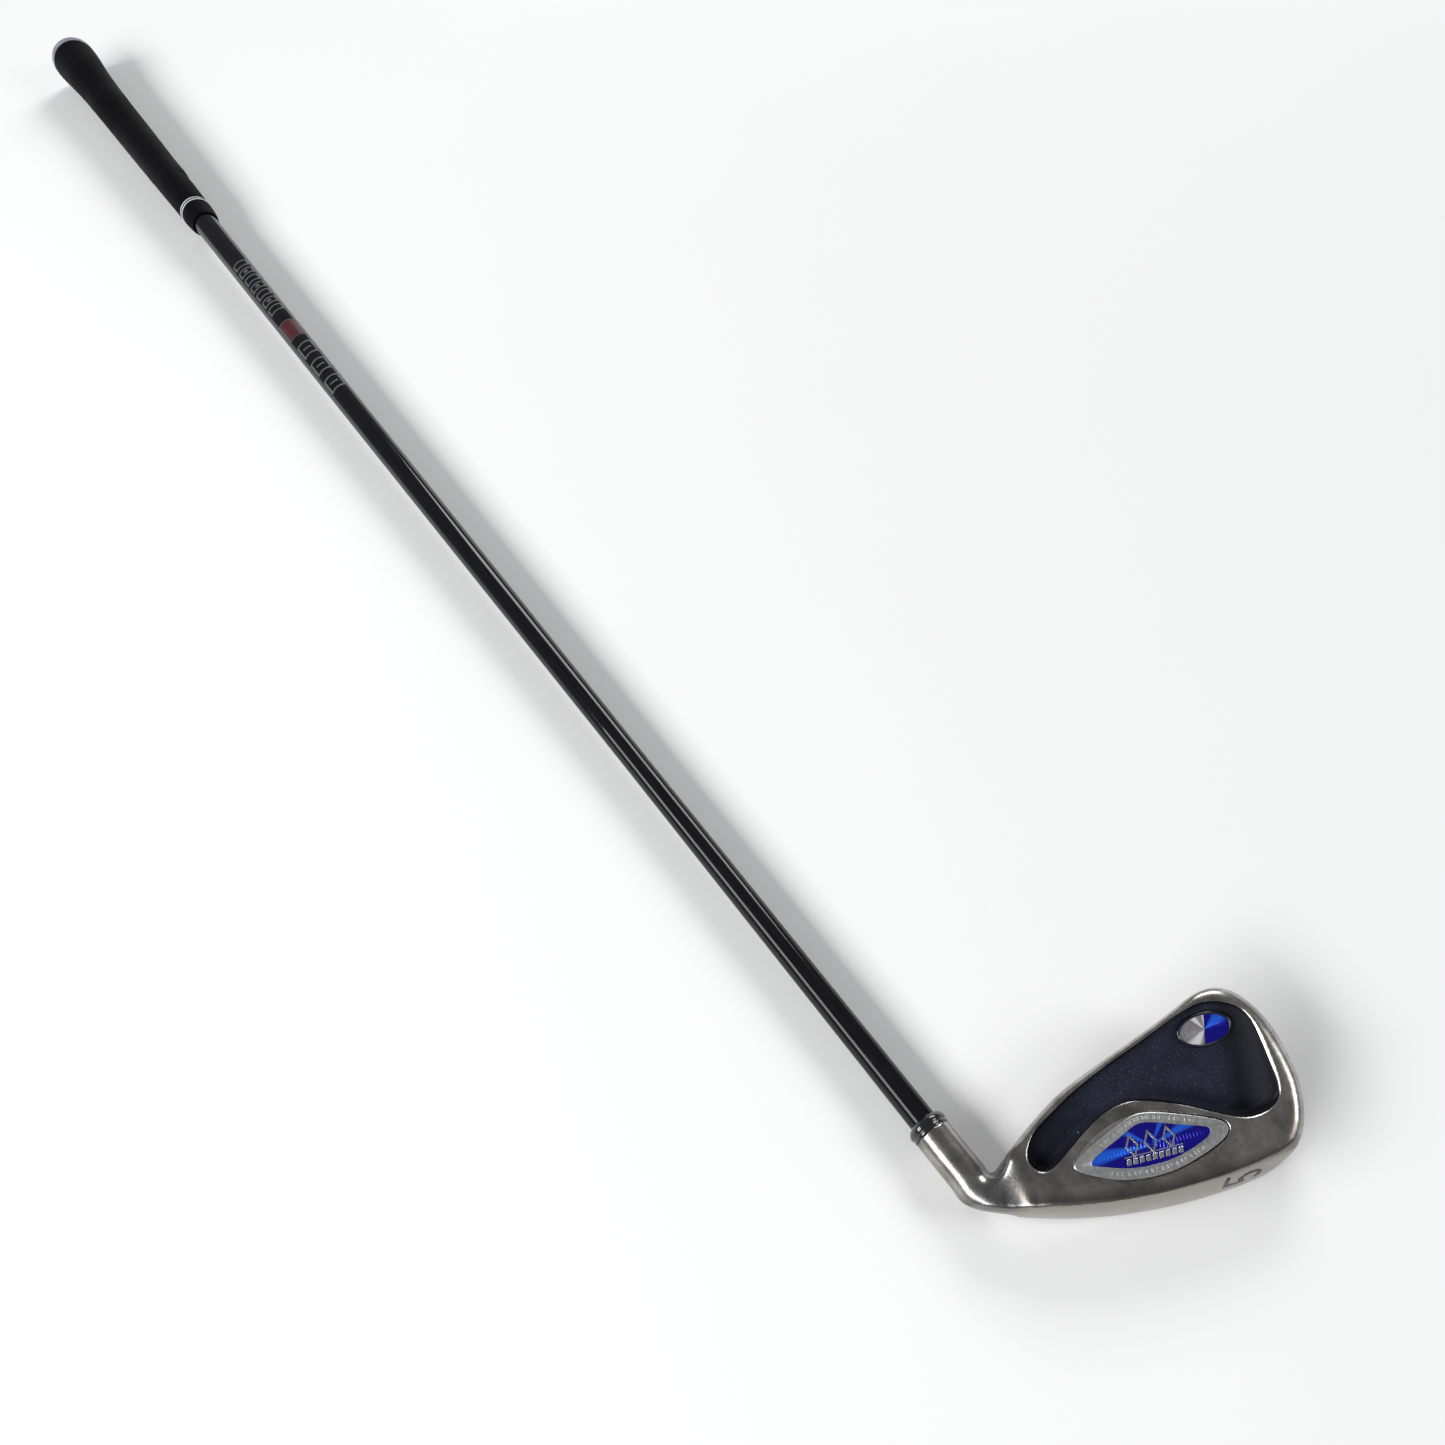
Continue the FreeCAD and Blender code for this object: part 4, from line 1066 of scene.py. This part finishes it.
def wrapped(outline, lift):
    """Closed patch printed on the shaft: four (height, arc) corners, wrapped round it."""
    corners = np.array(outline)
    sides = np.abs(np.roll(corners, -1, axis=0) - corners)
    columns = max(2, int(max(sides[0, 1], sides[2, 1]) / 0.4))
    rows = max(1, int(max(sides[1, 0], sides[3, 0]) / 3.0))
    points = []
    for height in (lift, 0.0):
        for v in np.arange(rows + 1) / rows:
            for u in np.arange(columns + 1) / columns:
                weights = ((1 - u) * (1 - v), u * (1 - v), u * v, (1 - u) * v)
                up, arc = weights @ corners
                radius = shaft_radius(up) + height
                angle = BACKWARD + arc / shaft_radius(up)
                points.append((radius * math.cos(angle), radius * math.sin(angle), up))
    size = (rows + 1) * (columns + 1)
    grid = np.arange(size).reshape(rows + 1, columns + 1)
    faces = []
    for a, b in zip(grid[:-1, :-1].flat, grid[1:, :-1].flat):
        faces += [(a, a + 1, b + 1, b), (size + a, size + b, size + b + 1, size + a + 1)]
    border = [*grid[0], *grid[1:, -1], *grid[-1, -2::-1], *grid[-2:0:-1, 0]]
    for here, after in zip(border, border[1:] + border[:1]):
        faces.append((after, here, size + here, size + after))
    return points, faces


def slanted(low, high, half_arc, slant):
    """Corners of a parallelogram on the shaft."""
    return [(low - slant, -half_arc), (low + slant, half_arc), (high + slant, half_arc),
            (high - slant, -half_arc)]


def framed(low, high, half_arc, slant, line):
    """Outlined parallelogram on the shaft, as four wrapped strokes."""
    inner_slant = slant * (half_arc - line) / half_arc
    strokes = frame_strokes(slanted(low, high, half_arc, slant),
                            slanted(low + line, high - line, half_arc - line, inner_slant))
    return [wrapped(stroke, PRINT_LIFT) for stroke in strokes]


def build_lettering(grey, red):
    """Plain outlined figures in place of the printed words, and the dark red block."""
    solids = []
    for block in range(LETTERING_COUNT):
        low = LETTERING_LOW + LETTERING_PITCH * block
        solids += framed(low + 0.9, low + 6.6, 4.6, 0.8, 0.9)
        if block % 2:
            solids.append(wrapped(slanted(low + 2.8, low + 4.7, 1.2, 0.2), PRINT_LIFT))
    solids += framed(RED_LOW - 1.0, RED_TOP + 1.0, 5.4, 0.0, 0.5)
    for low in FRAME_LOWS:
        solids += framed(low + 1.0, low + 12.0, 4.8, 0.9, 1.0)
        solids.append(wrapped(slanted(low + 5.9, low + 6.9, 2.4, 0.3), PRINT_LIFT))
    add_piece("shaft_figures", merged(solids), SHAFT, grey,
              "shaft_lettering_blocks", 40.0)
    block = wrapped(slanted(RED_LOW, RED_TOP, 4.7, 0.0), RED_LIFT)
    add_piece("shaft_red_block", block, SHAFT, red, "shaft_red_band", 40.0)


# ---------------------------------------------------------------- grip

TAPE_THICKNESS = 0.27
GRIP_MOUTH = 697.0
RIBS_LOW = 701.0
RIBS_TOP = 709.5
RIB_PITCH = 2.5
RIB_DEPTH = 0.13
RING_LOWS = (711.0, 713.2)
RING_WIDTH = 1.1
RING_GROOVE_RADIUS = 8.3
SKIRT_LOW = 939.92
UNDER_SKIRT_RADIUS = 13.6
GRIP_TOP = 943.45
NICK_HEIGHT = 746.0
NICK_DEPTH = 0.75
SWELL_BESIDE_NICK = 0.35
# Side of the grip that shows the nick, in the row frame
NICK_SIDE = Vector((0, 0.957, 0.288))


def build_grip(material):
    """Flared rubber sleeve with a ribbed collar, ring grooves and one small nick in its side."""
    skin = smooth_line(GRIP_PROFILE, 60)
    heights = np.concatenate([np.arange(697.6, 710.6, 0.3), [710.7, 710.95, 711.0],
                              [712.1, 712.15, 713.15, 713.2, 714.3, 714.35],
                              np.arange(714.8, 939.7, 1.2), [939.9, 939.95, GRIP_TOP]])
    side = SHAFT.to_3x3().inverted() @ NICK_SIDE
    toward = math.atan2(side.y, side.x)

    def shape(up, radius, angle):
        nick = NICK_DEPTH * math.exp(-((up - NICK_HEIGHT) / 3.2) ** 2)
        swell = SWELL_BESIDE_NICK * math.exp(-((up - NICK_HEIGHT - 9.0) / 8.0) ** 2)
        return radius - (nick - swell) * max(math.cos(angle - toward), 0.0) ** 3

    profile = [(GRIP_MOUTH, shaft_radius(GRIP_MOUTH) + TAPE_THICKNESS), (GRIP_MOUTH, 7.55),
               (GRIP_MOUTH + 0.2, 7.7)]
    for up in heights:
        radius = float(np.interp(up, skin[:, 0], skin[:, 1]))
        if RIBS_LOW < up < RIBS_TOP:
            radius -= RIB_DEPTH * max(0.0, math.sin(math.tau * (up - RIBS_LOW) / RIB_PITCH))
        if any(low <= up <= low + RING_WIDTH for low in RING_LOWS):
            radius = RING_GROOVE_RADIUS
        if up > SKIRT_LOW:
            radius = UNDER_SKIRT_RADIUS
        profile.append((float(up), radius))
    profile.append((GRIP_TOP, shaft_radius(GRIP_TOP) + TAPE_THICKNESS))
    add_piece("grip_rubber_sleeve", turned(profile, 144, shape), SHAFT, material,
              "grip_sleeve", 35.0)


def build_rings(material):
    """Two painted rings, slightly domed."""
    section = [(0.02, 8.32), (0.02, 8.8), (0.15, 8.9), (0.55, 8.95), (0.95, 8.9), (1.08, 8.8),
               (1.08, 8.32)]
    rings = [turned([(low + up, radius) for up, radius in section], 144) for low in RING_LOWS]
    add_piece("grip_paint_rings", merged(rings), SHAFT, material,
              "grip_rings", 40.0)


def build_cap(material):
    """Butt cap: a pale rim with a thin skirt over the rubber, and a domed end with its vent."""
    rim = [(943.5, 1.52), (943.5, 13.64), (940.0, 13.66), (940.0, 13.78), (940.8, 13.84),
           (943.5, 13.84), (944.4, 13.84), (945.3, 13.7), (946.1, 13.2), (946.5, 12.6),
           (946.58, 12.1), (946.3, 11.9), (946.3, 11.5), (946.6, 11.3), (946.8, 9.0),
           (946.95, 5.0), (947.0, 2.2), (946.9, 1.7), (946.6, 1.52)]
    add_piece("grip_butt_cap", turned(rim, 144), SHAFT, material,
              "grip_end_cap", 40.0)


def dress_inner_parts():
    """Gives the pieces that stay as their CAD solids a material of their own."""
    clear = painted("clear_adhesive", (0.13, 0.125, 0.115), (0.18, 0.17, 0.155), 0.3, 0.3)
    looks = {
        "sole_medallion_adhesive": clear,
        "toe_badge_adhesive": clear,
        "hosel_epoxy": clear,
        "tip_weight": metal("weight_brass", (0.72, 0.52, 0.24), (0.56, 0.39, 0.16), 0.28, 0.42),
        "tungsten_pellets": metal("tungsten", (0.34, 0.34, 0.35), (0.22, 0.22, 0.23), 0.35, 0.5),
        "pellet_binder": painted("dark_resin", (0.03, 0.025, 0.02), (0.05, 0.04, 0.03), 0.3, 0.3),
        "grip_tape": woven_tape(),
    }
    for name, material in looks.items():
        for socket in frame["nodes"][name].material_slots:
            socket.material = material


# ---------------------------------------------------------------- studio and camera

CAMERA_PLACE = Vector((0.52682, -0.13392, 0.45519))
CAMERA_TARGET = Vector((0.23469, -0.00585, 0.0))
CAMERA_ROLL = math.radians(12.99)
CAMERA_LENS = 33.63


def add_camera():
    camera = put_in_scene("camera", bpy.data.cameras.new("camera"))
    camera.data.lens = CAMERA_LENS
    camera.data.sensor_width = 36.0
    camera.data.clip_start = 0.01
    back = (CAMERA_PLACE - CAMERA_TARGET).normalized()
    level_up = (Vector((0, 0, 1)) - back * back.z).normalized()
    up = level_up * math.cos(CAMERA_ROLL) + level_up.cross(back) * math.sin(CAMERA_ROLL)
    camera.matrix_world = matrix_of(up.cross(back), up, back, CAMERA_PLACE)
    bpy.context.scene.camera = camera


def add_softbox(name, place, target, width, height, power):
    light = bpy.data.lights.new(name, "AREA")
    light.shape = "RECTANGLE"
    light.size, light.size_y = width, height
    light.energy = power
    softbox = put_in_scene(name, light)
    softbox.location = place
    aim = Vector(target) - Vector(place)
    softbox.rotation_euler = aim.to_track_quat("-Z", "Y").to_euler()


def add_studio():
    """Pale floor, soft grey surroundings and softboxes over the club."""
    bpy.context.scene.view_settings.view_transform = "Standard"
    world = bpy.data.worlds.new("studio")
    world.use_nodes = True
    surround = world.node_tree.nodes["Background"]
    surround.inputs["Color"].default_value = (0.95, 0.97, 1.0, 1.0)
    surround.inputs["Strength"].default_value = 0.20
    bpy.context.scene.world = world
    add_softbox("window_softbox", (0.15, -1.60, 1.10), (0.15, 0, 0), 2.4, 0.65, 44.0)
    add_softbox("key_softbox", (-1.1, 1.5, 1.1), (0.0, 0, 0), 1.2, 0.7, 24.0)
    add_softbox("toe_softbox", (1.45, 1.25, 1.0), (0.45, 0, 0), 0.6, 0.5, 9.0)
    finish = Finish("studio_floor")
    tint = finish.mixed(finish.noise(3.0), (0.90, 0.90, 0.90), (0.93, 0.93, 0.93))
    corners = range(-6, 7)
    points = [(x, y, 0) for y in corners for x in corners]
    row = len(corners)
    faces = [(j * row + i, j * row + i + 1, (j + 1) * row + i + 1, (j + 1) * row + i)
             for j in range(row - 1) for i in range(row - 1)]
    mesh = bpy.data.meshes.new("floor")
    mesh.from_pydata(points, [], faces)
    mesh.materials.append(finish.set(Base_Color=tint, Roughness=0.9))
    floor = put_in_scene("floor", mesh)


build_head(satin_steel())
build_coat(coat_black())
build_numeral(painted("black_paint_fill", (0.004, 0.004, 0.005), (0.016, 0.015, 0.014), 0.45, 0.1))
build_medallion_plate(metal("satin_silver", (0.60, 0.60, 0.60), (0.50, 0.50, 0.50), 0.34, 0.46))
# The direction lists place painted highlight wedges on the inlay and the badge lacquer.
inlay_blue = blue_lacquer("inlay_lacquer", BLADE @ MEDALLION,
                          ((16, 8), (50, 7), (142, 8), (179, 9)))
badge_blue = blue_lacquer("badge_lacquer", BLADE @ BADGE, ((28, 22), (208, 12)))
bright = metal("bright_silver", (0.82, 0.83, 0.86), (0.64, 0.65, 0.68), 0.14, 0.26)
build_inlay(inlay_blue)
build_emblem(bright)
# Painted highlight wedges, near white, on the spun silver disc.
disc_silver = spun("spun_silver", BLADE @ BADGE, ((222, 24), (120, 14), (80, 6)), 900.0,
                   (0.26, 0.245, 0.26), (0.38, 0.36, 0.38), (0.97, 0.97, 0.98), 0.14, Metallic=0.5)
bezel = painted("dark_bezel", (0.002, 0.003, 0.010), (0.004, 0.006, 0.022), 0.2, 0.7)
build_badge(bezel, disc_silver, badge_blue)
build_shaft(shaft_black())
build_ferrule(painted("ferrule_plastic", (0.006, 0.006, 0.007), (0.012, 0.012, 0.013), 0.16, 0.6))
grey = painted("grey_print", (0.085, 0.085, 0.10), (0.12, 0.12, 0.14), 0.4, 0.4, 1200.0)
red = painted("red_print", (0.055, 0.004, 0.007), (0.08, 0.007, 0.011), 0.35, 0.5, 1200.0)
build_lettering(grey, red)
build_grip(grip_black())
build_rings(painted("white_paint", (0.55, 0.56, 0.60), (0.66, 0.67, 0.70), 0.4, 0.1, 900.0))
build_cap(painted("pale_grey_cap", (0.20, 0.22, 0.26), (0.30, 0.32, 0.37), 0.45, 0.1, 300.0, 0.02))
dress_inner_parts()
add_camera()
add_studio()
